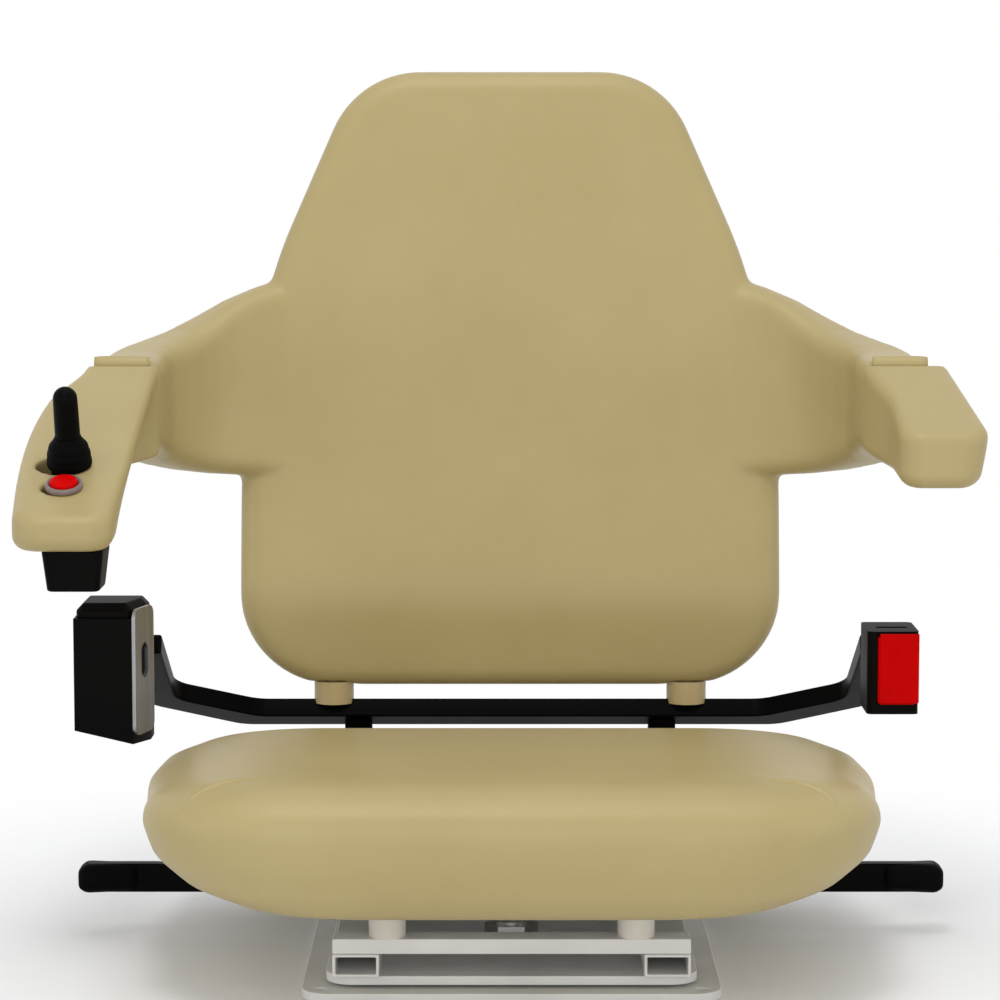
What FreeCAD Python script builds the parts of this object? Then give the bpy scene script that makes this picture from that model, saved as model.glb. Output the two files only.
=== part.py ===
# Stairlift chair: swivel base, folding seat, winged back, folding arms, lap belt and controls.
# Millimetres. X runs across the chair, -Y is the way it faces, Z is up.
# The origin is the middle of the swivel base's underside.
import FreeCAD
import Part
import Sketcher
import math
import os
from FreeCAD import Vector

doc = FreeCAD.newDocument("StairliftChair")

# Driving dimensions
sheet = doc.addObject("Spreadsheet::Sheet", "Sizes")
row = 0


def size(name, value, note):
    """One named dimension in the sheet."""
    global row
    row += 1
    sheet.set("A%d" % row, note)
    sheet.set("B%d" % row, str(value))
    sheet.setAlias("B%d" % row, name)


size("base_wide", 270, "base plate across")
size("base_deep", 250, "base plate front to back")
size("base_thick", 6, "base plate thickness")
size("plate_corner", 18, "corner radius of the two plates")
size("mount_pitch_x", 246, "base bolts across")
size("mount_pitch_y", 226, "base bolts front to back")
size("mount_hole_r", 4.5, "base bolt hole radius")
size("spindle_r", 12, "swivel spindle radius")
size("turn_gap", 0.3, "clearance between faces that turn past each other")
size("pin_fit", 0.05, "radial clearance of a pin in its bore")
size("washer_r", 70, "thrust washer outer radius")
size("washer_thick", 2, "thrust washer thickness")
size("top_wide", 240, "swivel plate across")
size("top_deep", 224, "swivel plate front to back")
size("top_thick", 6, "swivel plate thickness")
size("nut_r", 18, "spindle nut radius over its flats")
size("nut_tall", 9, "spindle nut height")

size("rail_x", 100, "frame rail centre from the middle")
size("rail_wide", 30, "frame rail width")
size("rail_tall", 15, "frame rail height")
size("rail_wall", 2, "frame rail wall")
size("rail_front", -116, "front end of the rails")
size("rail_rear", 232, "rear end of the rails")
size("member_wide", 20, "cross member width")
size("member_tall", 10, "cross member height")
size("front_member_y", -105, "front cross member centre")
size("upright_x", 112, "crossbar upright centre")
size("upright_wide", 20, "crossbar upright width")
size("upright_thick", 12, "crossbar upright thickness")

size("bar_rear", 225, "crossbar centre line behind the seat")
size("bar_height", 129, "crossbar centre height there")
size("bar_wide", 22, "crossbar section in its own plane")
size("bar_thick", 14, "crossbar section across its plane")
size("bar_bend_x", 192, "where the crossbar leaves the straight")
size("bar_arm_x", 254, "crossbar arm centre from the middle")
size("bar_bend_run", 46, "how far forward the outward bend runs")
size("bar_arm_run", 158, "how far forward the arms reach in the bar's plane")
size("bar_slope", 27, "rise of the bar's plane towards the front, degrees")
size("bar_bend_r", 26, "inner bend radius of the crossbar")

size("post_x", 130, "back post centre from the middle")
size("post_y", 223, "back post centre front to back")
size("post_r", 14.5, "back post radius where it shows")
size("post_foot", 136.5, "height of the post's rounded foot")
size("tang_r", 7, "post tang radius inside the back")
size("tang_top", 272, "top of the post tang")

size("back_low", 150, "bottom edge of the back")
size("back_top", 600, "top edge of the back")
size("back_half_low", 198, "half width of the lower back")
size("back_side_top", 316, "top of the straight lower side")
size("back_half_mid", 178, "half width at the top of the wings")
size("back_mid", 450, "height of that width")
size("back_half_top", 113, "half width where side and top lines would meet")
size("side_bend_low", 400, "radius of the side's lower bend")
size("side_bend_high", 300, "radius of the side's upper bend")
size("back_low_corner", 68, "lower corner radius of the back")
size("back_top_corner", 70, "upper corner radius of the back")
size("back_thick", 38, "back thickness")
size("back_y_low", 208, "front face at the bottom edge")
size("back_y_lumbar", 201, "front face at the lumbar bulge")
size("lumbar_height", 218, "height of the lumbar bulge")
size("wing_back_y", 220, "front face of the back between the wings")
size("back_y_top", 271, "front face at the top edge")
size("lumbar_r", 120, "rounding of the lumbar bulge")
size("back_roll", 15, "rounding of the back's front edge")
size("back_rear_roll", 9, "rounding of the back's rear edge")
size("cover_thick", 3, "rear cover thickness")
size("board_thick", 5, "back board thickness")
size("cover_inset", 26, "rear cover in from the back's outline")

size("wing_end_y", 71, "front end of the wings")
size("wing_end_in", 241, "inner face of the wing at its end")
size("wing_end_out", 291, "outer face of the wing at its end")
size("wing_end_low", 334, "underside of the wing at its end")
size("wing_end_top", 400, "top of the wing at its end")
size("wing_bow_y", 160, "where the wing starts to bend inwards")
size("wing_thick", 44, "wing thickness behind its end")
size("wing_root_low", 300, "underside of the wing at the back")
size("wing_root_top", 453, "top of the wing at the back")
size("strap_thick", 5, "wing strap thickness")
size("strap_tall", 28, "wing strap height")

size("hinge_drop", 4, "arm hinge centre below the top of the wing")
size("hinge_r", 2.5, "arm hinge pin radius")
size("knuckle_r", 5, "arm hinge knuckle radius")
size("knuckle_half", 18, "half length of the arm hinge")
size("knuckle_mid", 8, "half length of the arm's own knuckle")
size("seam_gap", 0.6, "gap between wing and arm")

size("arm_slope", 22, "fall of the arm top towards the front, degrees")
size("arm_in", 251, "inner face of the left arm in front of the seam")
size("arm_out", 313, "outer face of the left arm at its front")
size("arm_length_left", 216, "left arm, seam to front")
size("arm_length_right", 108, "right arm, seam to front")
size("arm_out_right", 309, "outer face of the right arm at its front")
size("arm_in_right", 245, "inner face of the right arm")
size("arm_roll", 9, "rounding of the arm edges")
size("arm_corner", 17.6, "front corner radius of the arms in plan")
size("arm_depth_mid", 36, "arm depth behind the pod")
size("arm_depth_front", 21, "arm depth at its front edge")
size("arm_depth_right", 37, "right arm depth at its front edge")
size("pod_length", 64, "length of the deeper pod under the left arm")
size("arm_core_wide", 22, "arm core width")
size("arm_core_tall", 12, "arm core height")

size("toggle_run", 159, "toggle from the seam, along the arm top")
size("toggle_x", -284, "toggle and stop button from the middle")
size("toggle_r", 8, "toggle handle radius")
size("toggle_tall", 56, "toggle handle above the arm top")
size("toggle_drop", 8, "toggle pivot below the arm top")
size("boot_r", 14, "boot radius at the arm top")
size("boot_tall", 21, "boot height")
size("stem_r", 4, "toggle stem radius")
size("toggle_hub", 9, "length of the toggle's hub on its pin")
size("switch_r", 12, "toggle switch body radius")
size("switch_deep", 16, "toggle switch body depth")
size("switch_floor", 2, "toggle switch floor thickness")
size("stop_run", 190, "stop button from the seam, along the arm top")
size("stop_ring_r", 12, "stop button ring radius")
size("stop_ring_tall", 4, "stop button ring height")
size("stop_r", 9, "stop button radius")
size("stop_tall", 6, "stop button height above the arm top")
size("stop_travel", 3, "stop button travel")
size("stop_bore", 12, "depth of the stop button's bore")
size("box_wide", 39, "control box width at its top")
size("box_wide_low", 33, "control box width at its bottom")
size("box_deep", 44, "control box front to back at its top")
size("box_tall", 26, "control box height")

size("seat_half", 237, "cushion half width at its widest")
size("seat_front", -200, "cushion front")
size("seat_rear", 195, "cushion rear")
size("seat_low", 55, "cushion underside at the middle")
size("seat_high", 139, "cushion crown at the middle")
size("seat_tilt", 4, "fall of the cushion top towards the rear, degrees")
size("seat_tilt_low", 2, "fall of the cushion underside, degrees")
size("seat_corner", 90, "cushion corner radius in plan")
size("seat_widest_share", 0.68, "height of the widest outline, as a share of the cushion's height")
size("seat_roll_side", 46, "how far the crown's edge rolls in at the sides")
size("seat_roll_front", 42, "how far it rolls in at the front")
size("seat_roll_rear", 30, "how far it rolls in at the rear")
size("seat_draw_side", 106, "how far the sides draw in under the cushion")
size("seat_draw_front", 46, "how far the front draws in under the cushion")
size("seat_draw_rear", 52, "how far the rear draws in under the cushion")
size("seat_corner_low", 40, "cushion corner radius at its underside")
size("seat_corner_top", 60, "cushion corner radius at its crown")
size("pan_thick", 3, "seat pan thickness")
size("pan_half", 126, "seat pan half width")
size("pan_front", -122, "seat pan front edge")
size("ear_x", 192, "seat hinge ear centre")
size("ear_thick", 4, "seat hinge ear thickness")
size("ear_r", 10, "seat hinge ear radius")
size("fold_y", 168, "seat hinge centre front to back")
size("fold_z", 85, "seat hinge centre height")
size("fold_pin_r", 4, "seat hinge pin radius")
size("bracket_x", 226, "seat hinge bracket centre")
size("bracket_thick", 4, "seat hinge bracket thickness")
size("bumper_x", 80, "seat bumper from the middle")
size("bumper_r", 12, "seat bumper radius")

size("lever_y", 60, "swivel lever centre front to back")
size("lever_thick", 8, "swivel lever thickness")
size("lever_end", 299, "swivel lever outer end")
size("lever_inner", 9, "swivel lever inner end")
size("lever_low", 31.3, "swivel lever underside")
size("lever_tall", 9.5, "swivel lever height at its inner end")
size("lever_tall_out", 20, "swivel lever height at its grip")
size("lever_flare", 25, "where the lever starts to widen, outside its pivot")
size("lever_shoulder", 12, "where it is full height, inside the grip")
size("lever_tip", 6, "lever end inside the grip")
size("lever_grip", 42, "grip length")
size("grip_wide", 30, "grip width")
size("grip_narrow", 14, "grip width at its inner end")
size("grip_tall", 25, "grip height")
size("grip_corner", 6, "corner radius of the grip in plan")
size("grip_bevel", 5, "bevel of the grip's upper and lower edges")
size("lever_pin_r", 3, "lever pivot pin radius")
size("lever_pin_z", 36, "lever pivot height")
size("cheek_thick", 3, "lever bracket cheek thickness")
size("cheek_wide", 24, "lever bracket cheek width")
size("cheek_tall", 16, "lever bracket height")
size("latch_r", 5, "latch pin radius")
size("latch_low", 8.5, "lower end of the latch pin, held out of the base plate")
size("latch_head_r", 15, "latch pin head radius")
size("latch_head_tall", 2.7, "latch pin head height")
size("latch_gap", 0.3, "latch head above the levers")
size("guide_r", 8, "latch guide bush radius")
size("guide_tall", 14, "latch guide bush height")

size("reel_out", 298, "belt retractor outer side")
size("reel_in", 249, "belt retractor inner side")
size("reel_front", 36, "belt retractor front")
size("reel_rear", 88, "belt retractor rear")
size("reel_low", 136, "belt retractor underside")
size("reel_top", 225, "belt retractor rim")
size("reel_slant", 12, "slant of the retractor's lower outer corner")
size("reel_wall", 3, "belt retractor wall")
size("chamfer_step", 9, "retractor's front inner chamfer, across")
size("chamfer_run", 32, "retractor's front inner chamfer, front to back")
size("cap_tall", 10, "retractor cap height")
size("spool_r", 15, "belt spool radius")
size("tongue_wide", 34, "latch plate width")
size("tongue_low", 144, "latch plate lower end")
size("tongue_top", 231, "latch plate upper end")
size("tongue_thick", 2.5, "latch plate thickness")
size("slot_long", 24, "latch plate slot length")
size("slot_wide", 12, "latch plate slot width")
size("buckle_in", 243, "buckle inner side")
size("buckle_out", 278, "buckle outer side")
size("buckle_front", 37, "buckle front")
size("buckle_rear", 84, "buckle rear")
size("buckle_low", 159, "buckle underside")
size("buckle_top", 216, "buckle top")
size("press_deep", 9, "buckle button thickness")
size("press_proud", 4.5, "buckle button in front of the body")
size("press_travel", 3.5, "buckle button travel")
doc.recompute()


def get(name):
    """The value of a named dimension."""
    return float(sheet.get(name))


# Shared helpers
def bind(thing, **bound):
    """Binds properties of an object to expressions on the sheet."""
    for name, text in bound.items():
        thing.setExpression(name, text)
    return thing


def put(thing, x="0", y="0", z="0"):
    """Binds the place of an object."""
    for axis, text in zip("xyz", (x, y, z)):
        thing.setExpression("Placement.Base." + axis, text)
    return thing


def turn(thing, axis, angle):
    """Turns an object about its own origin by an angle, which may be bound."""
    thing.Placement = FreeCAD.Placement(Vector(0, 0, 0), FreeCAD.Rotation(axis, 30))
    thing.setExpression("Placement.Rotation.Angle", angle)
    return thing


def box(name, x_low, x_high, y_low, y_high, z_low, z_high):
    """A box between bound limits."""
    made = doc.addObject("Part::Box", name)
    bind(made, Length="(%s)-(%s)" % (x_high, x_low))
    bind(made, Width="(%s)-(%s)" % (y_high, y_low))
    bind(made, Height="(%s)-(%s)" % (z_high, z_low))
    return put(made, x_low, y_low, z_low)


AXES = {"X": (Vector(0, 1, 0), 90), "Y": (Vector(1, 0, 0), -90), "Z": (Vector(0, 0, 1), 0)}


def rod(name, radius, length, x="0", y="0", z="0", axis="Z"):
    """A round bar that starts at a bound point and runs along an axis."""
    made = doc.addObject("Part::Cylinder", name)
    made.Placement = FreeCAD.Placement(Vector(0, 0, 0), FreeCAD.Rotation(*AXES[axis]))
    bind(made, Radius=radius, Height=length)
    return put(made, x, y, z)


def fuse(name, *pieces):
    made = doc.addObject("Part::MultiFuse", name)
    made.Shapes = list(pieces)
    return made


def cut(name, base, *tools):
    made = doc.addObject("Part::Cut", name)
    made.Base = base
    made.Tool = tools[0] if len(tools) == 1 else fuse(name + "_tools", *tools)
    return made


def common(name, first, second):
    made = doc.addObject("Part::Common", name)
    made.Base = first
    made.Tool = second
    return made


def mirrored(name, source):
    """The same piece on the other side of the chair."""
    made = doc.addObject("Part::Mirroring", name)
    made.Source = source
    made.Normal = Vector(1, 0, 0)
    return made


def body(name):
    return doc.addObject("PartDesign::Body", name)


def sketch_on(owner, role, corners, circles=(), name="Outline"):
    """A sketch on a body's origin plane: one closed outline and any circles, all bound."""
    made = owner.newObject("Sketcher::SketchObject", name)
    plane = [item for item in owner.Origin.OriginFeatures if item.Role == role][0]
    made.AttachmentSupport = [(plane, "")]
    made.MapMode = "FlatFace"
    add_outline(made, corners)
    for across, up, radius in circles:
        add_circle(made, across, up, radius)
    return made


def add_outline(made, corners):
    """Adds a closed outline of straight sides whose corners are bound."""
    count = len(corners)
    first = made.GeometryCount
    start = [Vector(9 * math.cos(6.28 * k / count), 9 * math.sin(6.28 * k / count), 0) for k in range(count)]
    for k in range(count):
        made.addGeometry(Part.LineSegment(start[k], start[(k + 1) % count]))
    for k in range(count):
        made.addConstraint(Sketcher.Constraint("Coincident", first + k, 2, first + (k + 1) % count, 1))
    for k, corner in enumerate(corners):
        for kind, text, now in zip(("DistanceX", "DistanceY"), corner, start[k]):
            index = made.addConstraint(Sketcher.Constraint(kind, -1, 1, first + k, 1, now))
            made.setExpression("Constraints[%d]" % index, text)


def add_circle(made, across, up, radius):
    """Adds a circle with a bound centre and radius."""
    which = made.addGeometry(Part.Circle(Vector(1, 1, 0), Vector(0, 0, 1), 2))
    made.setExpression("Constraints[%d]" % made.addConstraint(
        Sketcher.Constraint("Radius", which, 2)), radius)
    for kind, text in (("DistanceX", across), ("DistanceY", up)):
        index = made.addConstraint(Sketcher.Constraint(kind, -1, 1, which, 3, 1))
        made.setExpression("Constraints[%d]" % index, text)


def pad(owner, sketch, length, middle=False, name="Pad"):
    made = owner.newObject("PartDesign::Pad", name)
    made.Profile = sketch
    made.Midplane = middle
    bind(made, Length=length)
    return made


def edges_where(shape, test):
    """Names of the edges whose middle and direction pass a test."""
    found = []
    for index, edge in enumerate(shape.Edges, 1):
        middle = edge.valueAt(0.5 * (edge.FirstParameter + edge.LastParameter))
        along = edge.tangentAt(0.5 * (edge.FirstParameter + edge.LastParameter))
        if test(middle, along, edge):
            found.append("Edge%d" % index)
    return found


def fillet(owner, before, radius, test, name="Fillet"):
    """Rounds the edges of a body's last feature that pass a test."""
    doc.recompute()
    made = owner.newObject("PartDesign::Fillet", name)
    made.Base = (before, edges_where(before.Shape, test))
    bind(made, Radius=radius)
    return made


def chamfer(owner, before, width, test, name="Chamfer"):
    """Bevels the edges of a body's last feature that pass a test."""
    doc.recompute()
    made = owner.newObject("PartDesign::Chamfer", name)
    made.Base = (before, edges_where(before.Shape, test))
    bind(made, Size=width)
    return made


def upright_edge(middle, along, edge):
    return abs(along.z) > 0.99


def corners_of(half_x, half_y):
    """The corners of a rectangle about the origin."""
    return [("-" + half_x, "-" + half_y), (half_x, "-" + half_y), (half_x, half_y), ("-" + half_x, half_y)]


finished = []


def keep(thing, label):
    """Marks a sub-part as finished, under the name of its file."""
    thing.Label = label
    finished.append(thing)
    return thing


def keep_pair(left, name):
    """Keeps a left-hand piece and its mirror image."""
    keep(left, name + "_left")
    return keep(mirrored(left.Name + "Mirror", left), name + "_right")


S = "Sizes."

# Swivel base: a bolted plate with three latch holes, a spindle and a thrust washer
BASE_TOP = S + "base_thick"
TOP_LOW = "(Sizes.base_thick+Sizes.washer_thick+Sizes.turn_gap)"
TOP_HIGH = "(%s+Sizes.top_thick)" % TOP_LOW


def make_base():
    plate = body("BasePlate")
    mount = [(sx + "Sizes.mount_pitch_x/2", sy + "Sizes.mount_pitch_y/2", S + "mount_hole_r")
             for sx in ("", "-") for sy in ("", "-")]
    latch = [("0", "Sizes.lever_y", "Sizes.latch_r+Sizes.pin_fit"),
             ("Sizes.lever_y", "0", "Sizes.latch_r+Sizes.pin_fit"),
             ("-Sizes.lever_y", "0", "Sizes.latch_r+Sizes.pin_fit")]
    outline = sketch_on(plate, "XY_Plane", corners_of("Sizes.base_wide/2", "Sizes.base_deep/2"),
                        mount + latch + [("0", "0", S + "spindle_r")])
    slab = pad(plate, outline, BASE_TOP)
    fillet(plate, slab, S + "plate_corner", upright_edge)
    keep(plate, "base_plate")
    spindle = rod("Spindle", S + "spindle_r", TOP_HIGH + "+Sizes.turn_gap+Sizes.nut_tall+2")
    keep(spindle, "swivel_spindle")
    outer = rod("WasherDisc", S + "washer_r", S + "washer_thick", z=BASE_TOP)
    latch_ring = rod("WasherBore", "Sizes.spindle_r+0.2", S + "washer_thick", z=BASE_TOP)
    ends = [rod("WasherPort%d" % k, "Sizes.latch_r+2", S + "washer_thick", x, y, BASE_TOP)
            for k, (x, y, r) in enumerate(latch)]
    keep(cut("ThrustWasher", outer, latch_ring, *ends), "thrust_washer")
    nut = doc.addObject("Part::Prism", "NutBlank")
    nut.Polygon = 6
    bind(nut, Circumradius=S + "nut_r", Height=S + "nut_tall")
    put(nut, z=TOP_HIGH + "+Sizes.turn_gap")
    keep(cut("Nut", nut, spindle), "spindle_nut")


def make_swivel_plate():
    plate = body("SwivelPlate")
    outline = sketch_on(plate, "XY_Plane", corners_of("Sizes.top_wide/2", "Sizes.top_deep/2"),
                        [("0", "0", "Sizes.spindle_r+Sizes.pin_fit"), ("0", "Sizes.lever_y", S + "guide_r")])
    slab = pad(plate, outline, S + "top_thick")
    fillet(plate, slab, S + "plate_corner", upright_edge)
    put(plate, z=TOP_LOW)
    keep(plate, "swivel_plate")


# Seat frame: two rails, two cross members, hinge brackets and uprights
RAIL_TOP = "(%s+Sizes.rail_tall)" % TOP_HIGH
MEMBER_TOP = "(%s+Sizes.member_tall)" % RAIL_TOP


def make_frame(bar):
    outer = box("RailOuter", "-Sizes.rail_x-Sizes.rail_wide/2", "-Sizes.rail_x+Sizes.rail_wide/2",
                S + "rail_front", S + "rail_rear", TOP_HIGH, RAIL_TOP)
    inner = box("RailInner", "-Sizes.rail_x-Sizes.rail_wide/2+Sizes.rail_wall",
                "-Sizes.rail_x+Sizes.rail_wide/2-Sizes.rail_wall", "Sizes.rail_front-1", "Sizes.rail_rear+1",
                TOP_HIGH + "+Sizes.rail_wall", RAIL_TOP + "-Sizes.rail_wall")
    keep_pair(cut("Rail", outer, inner), "frame_rail")
    keep(box("FrontMember", "-Sizes.rail_x-Sizes.rail_wide/2", "Sizes.rail_x+Sizes.rail_wide/2",
             "Sizes.front_member_y-Sizes.member_wide/2", "Sizes.front_member_y+Sizes.member_wide/2",
             RAIL_TOP, MEMBER_TOP), "front_cross_member")
    keep(box("RearMember", "-Sizes.bracket_x-Sizes.bracket_thick/2", "Sizes.bracket_x+Sizes.bracket_thick/2",
             "Sizes.fold_y-Sizes.member_wide/2", "Sizes.fold_y+Sizes.member_wide/2",
             RAIL_TOP, MEMBER_TOP), "rear_cross_member")
    post = box("UprightBlank", "-Sizes.upright_x-Sizes.upright_wide/2", "-Sizes.upright_x+Sizes.upright_wide/2",
               "Sizes.bar_rear-Sizes.upright_thick/2", "Sizes.bar_rear+Sizes.upright_thick/2",
               RAIL_TOP, S + "bar_height")
    keep_pair(cut("Upright", post, bar), "bar_upright")
    web = box("BracketWeb", "-Sizes.bracket_x-Sizes.bracket_thick/2", "-Sizes.bracket_x+Sizes.bracket_thick/2",
              "Sizes.fold_y-Sizes.ear_r", "Sizes.fold_y+Sizes.ear_r", MEMBER_TOP, S + "fold_z")
    eye = rod("BracketEye", S + "ear_r", S + "bracket_thick", "-Sizes.bracket_x-Sizes.bracket_thick/2",
              S + "fold_y", S + "fold_z", "X")
    pin = rod("FoldPin", S + "fold_pin_r", "Sizes.bracket_x-Sizes.ear_x+Sizes.bracket_thick+Sizes.ear_thick",
              "-Sizes.bracket_x-Sizes.bracket_thick", S + "fold_y", S + "fold_z", "X")
    keep_pair(cut("FoldBracket", fuse("BracketBlank", web, eye), pin), "seat_hinge_bracket")
    keep_pair(pin, "seat_hinge_pin")
    bumper = rod("Bumper", S + "bumper_r", "Sizes.seat_low-Sizes.pan_thick-Sizes.turn_gap-0.2"
                 "-Sizes.front_member_y*tan(Sizes.seat_tilt_low*1deg)-Sizes.bumper_r*0.04-" + MEMBER_TOP,
                 "-Sizes.bumper_x", S + "front_member_y", MEMBER_TOP)
    keep_pair(bumper, "seat_bumper")


def make_crossbar():
    """A flat bar bent in one plane, which rises towards the front."""
    bar = body("Crossbar")
    half = "Sizes.bar_wide/2"
    run = "(-Sizes.bar_bend_run)"
    outer = [("Sizes.bar_arm_x+" + half, "-Sizes.bar_arm_run"),
             ("Sizes.bar_arm_x+" + half, run + "+Sizes.bar_wide*0.3"),
             ("Sizes.bar_bend_x+Sizes.bar_wide*0.3", half)]
    inner = [("Sizes.bar_bend_x-Sizes.bar_wide*0.3", "-" + half),
             ("Sizes.bar_arm_x-" + half, run + "-Sizes.bar_wide*0.3"),
             ("Sizes.bar_arm_x-" + half, "-Sizes.bar_arm_run")]
    right = outer + [("-(%s)" % across, up) for across, up in reversed(outer)]
    left = [("-(%s)" % across, up) for across, up in reversed(inner)] + inner
    strip = pad(bar, sketch_on(bar, "XY_Plane", right + left), S + "bar_thick", True)
    fillet(bar, strip, S + "bar_bend_r", lambda middle, along, edge: abs(along.z) > 0.99
           and middle.y > -get("bar_arm_run") + 1)
    turn(bar, Vector(-1, 0, 0), "Sizes.bar_slope")
    put(bar, "0", S + "bar_rear", S + "bar_height")
    return keep(bar, "crossbar")


# Back: a skinned foam moulding with wings, on a board and two posts, closed by a rear cover
def back_profile(shift_front, shift_rear):
    """Corners of the back's side profile, with its faces moved by bound amounts."""
    heights = [S + "back_low", S + "lumbar_height", S + "back_top"]
    depths = [S + "back_y_low", S + "back_y_lumbar", S + "back_y_top"]
    front = [(depth + shift_front, height) for depth, height in zip(depths, heights)]
    rear = [(depth + shift_rear, height) for depth, height in zip(depths, heights)]
    return front + rear[::-1]


def back_outline(inset):
    """Corners of the back's front outline, drawn in by a bound amount."""
    right = [("Sizes.back_half_low-" + inset, "Sizes.back_low+" + inset),
             ("Sizes.back_half_low-" + inset, S + "back_side_top"),
             ("Sizes.back_half_mid-" + inset, S + "back_mid"),
             ("Sizes.back_half_top-%s*0.7" % inset, "Sizes.back_top-" + inset)]
    return right + [("-(%s)" % across, up) for across, up in reversed(right)]


def back_slab(name, shift_front, shift_rear):
    """A slab that follows the back's curve from side to side."""
    made = body(name)
    slab = pad(made, sketch_on(made, "YZ_Plane", back_profile(shift_front, shift_rear)),
               "Sizes.back_half_low*2+100", True)
    fillet(made, slab, S + "lumbar_r", lambda middle, along, edge: abs(along.x) > 0.99
           and abs(middle.z - get("lumbar_height")) < 1)
    return made


def back_block(name, inset, corner_share):
    """A block with the back's front outline and round corners, to trim slabs with."""
    made = body(name)
    block = pad(made, sketch_on(made, "XZ_Plane", back_outline(inset)), "1200", True)
    level = get("back_side_top")
    low = fillet(made, block, "Sizes.back_low_corner*%s" % corner_share,
                 lambda middle, along, edge: abs(along.y) > 0.99 and middle.z < level - 1, "LowCorners")
    top = fillet(made, low, "Sizes.back_top_corner*%s" % corner_share,
                 lambda middle, along, edge: abs(along.y) > 0.99 and middle.z > get("back_mid") + 50, "TopCorners")
    bend = fillet(made, top, S + "side_bend_low", lambda middle, along, edge:
                  abs(along.y) > 0.99 and abs(middle.z - level) < 1, "LowBends")
    fillet(made, bend, S + "side_bend_high", lambda middle, along, edge:
           abs(along.y) > 0.99 and abs(middle.z - get("back_mid")) < 1, "HighBends")
    return made


def rounded(name, source, *rounds):
    """Rounds the edges of a finished shape: each round is a radius and a test."""
    doc.recompute()
    made = doc.addObject("Part::Fillet", name)
    made.Base = source
    made.Edges = [(int(edge[4:]), radius, radius)
                  for radius, test in rounds for edge in edges_where(source.Shape, test)]
    return made


def rounded_loop(centre, across, up, half_across, half_up, radius):
    """A rectangle with round corners, as lines and quarter arcs."""
    def point(a, b):
        return centre + across * a + up * b
    edges = []
    corner = radius * (1 - math.sqrt(0.5))
    signs = [(1, -1), (1, 1), (-1, 1), (-1, -1)]
    for index, (sa, sb) in enumerate(signs):
        na, nb = signs[(index + 1) % 4]
        along_up = sa == na
        if along_up:
            begin = point(sa * half_across, sb * (half_up - radius))
            end = point(na * half_across, nb * (half_up - radius))
            after = point(na * (half_across - radius), nb * half_up)
        else:
            begin = point(sa * (half_across - radius), sb * half_up)
            end = point(na * (half_across - radius), nb * half_up)
            after = point(na * half_across, nb * (half_up - radius))
        middle = point(na * (half_across - corner), nb * (half_up - corner))
        edges.append(Part.LineSegment(begin, end).toShape())
        edges.append(Part.Arc(end, middle, after).toShape())
    return Part.Wire(edges)


def wing_stations():
    """Centre, heading, lean, thickness, underside and top of the left wing along its path."""
    end_x = -(get("wing_end_in") + get("wing_end_out")) / 2
    end_wide = get("wing_end_out") - get("wing_end_in")
    thick = get("wing_thick")
    end_y = get("wing_end_y")
    bow_y = get("wing_bow_y")
    low = get("wing_end_low")
    top = get("wing_end_top")
    root_low = get("wing_root_low")
    root_top = get("wing_root_top")
    bow_x = -(get("wing_end_in") + thick / 2)
    root_y = get("wing_back_y") + 29
    return [
        (Vector(end_x, end_y, 0), 90, 0, end_wide, low, top),
        (Vector(bow_x - 1, (end_y + bow_y) / 2, 0), 90, 0, (end_wide + thick) / 2, low - 4, top),
        (Vector(bow_x, bow_y, 0), 84, 0, thick, low - 12, top + 3),
        (Vector(bow_x + 26, root_y - 42, 0), 52, 0.08, thick, low - 24, top + 13),
        (Vector(bow_x + 68, root_y - 14, 0), 20, 0.17, thick - 10, root_low + 5, root_top - 14),
        (Vector(-get("back_half_mid") + 38, root_y + 2, 0), 4, 0.2, thick - 16, root_low, root_top),
    ]


def between(stations, share):
    """The station at a share of the way along the wing, on a smooth curve through them all."""
    place = share * (len(stations) - 1)
    index = min(int(place), len(stations) - 2)
    rest = place - index
    near = [stations[max(0, min(len(stations) - 1, index + step))] for step in (-1, 0, 1, 2)]
    weights = (0.5 * (-rest ** 3 + 2 * rest ** 2 - rest), 0.5 * (3 * rest ** 3 - 5 * rest ** 2 + 2),
               0.5 * (-3 * rest ** 3 + 4 * rest ** 2 + rest), 0.5 * (rest ** 3 - rest ** 2))
    blended = [sum((station[0] * weight for station, weight in zip(near, weights)), Vector())]
    blended += [sum(station[k] * weight for station, weight in zip(near, weights)) for k in range(1, 6)]
    return blended


def make_wing_foam():
    """The left wing as one loft from its seam face into the back."""
    loops = []
    stations = wing_stations()
    for step in range(13):
        centre, heading, lean, thick, low, top = between(stations, step / 12)
        angle = math.radians(heading)
        across = Vector(math.sin(angle), -math.cos(angle), 0)
        middle = Vector(centre.x, centre.y, (low + top) / 2)
        loops.append(rounded_loop(middle, across, Vector(0, lean, 1), thick / 2, (top - low) / 2, 13))
    made = doc.addObject("Part::Feature", "WingFoam")
    made.Shape = Part.makeLoft(loops, True, True)
    return made


# Arm hinge: the pin runs across the wing's end just below its top
HINGE_X = "(-(Sizes.wing_end_in+Sizes.wing_end_out)/2)"
HINGE_Y = "(Sizes.wing_end_y-Sizes.seam_gap)"
HINGE_Z = "(Sizes.wing_end_top-Sizes.hinge_drop)"


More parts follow.
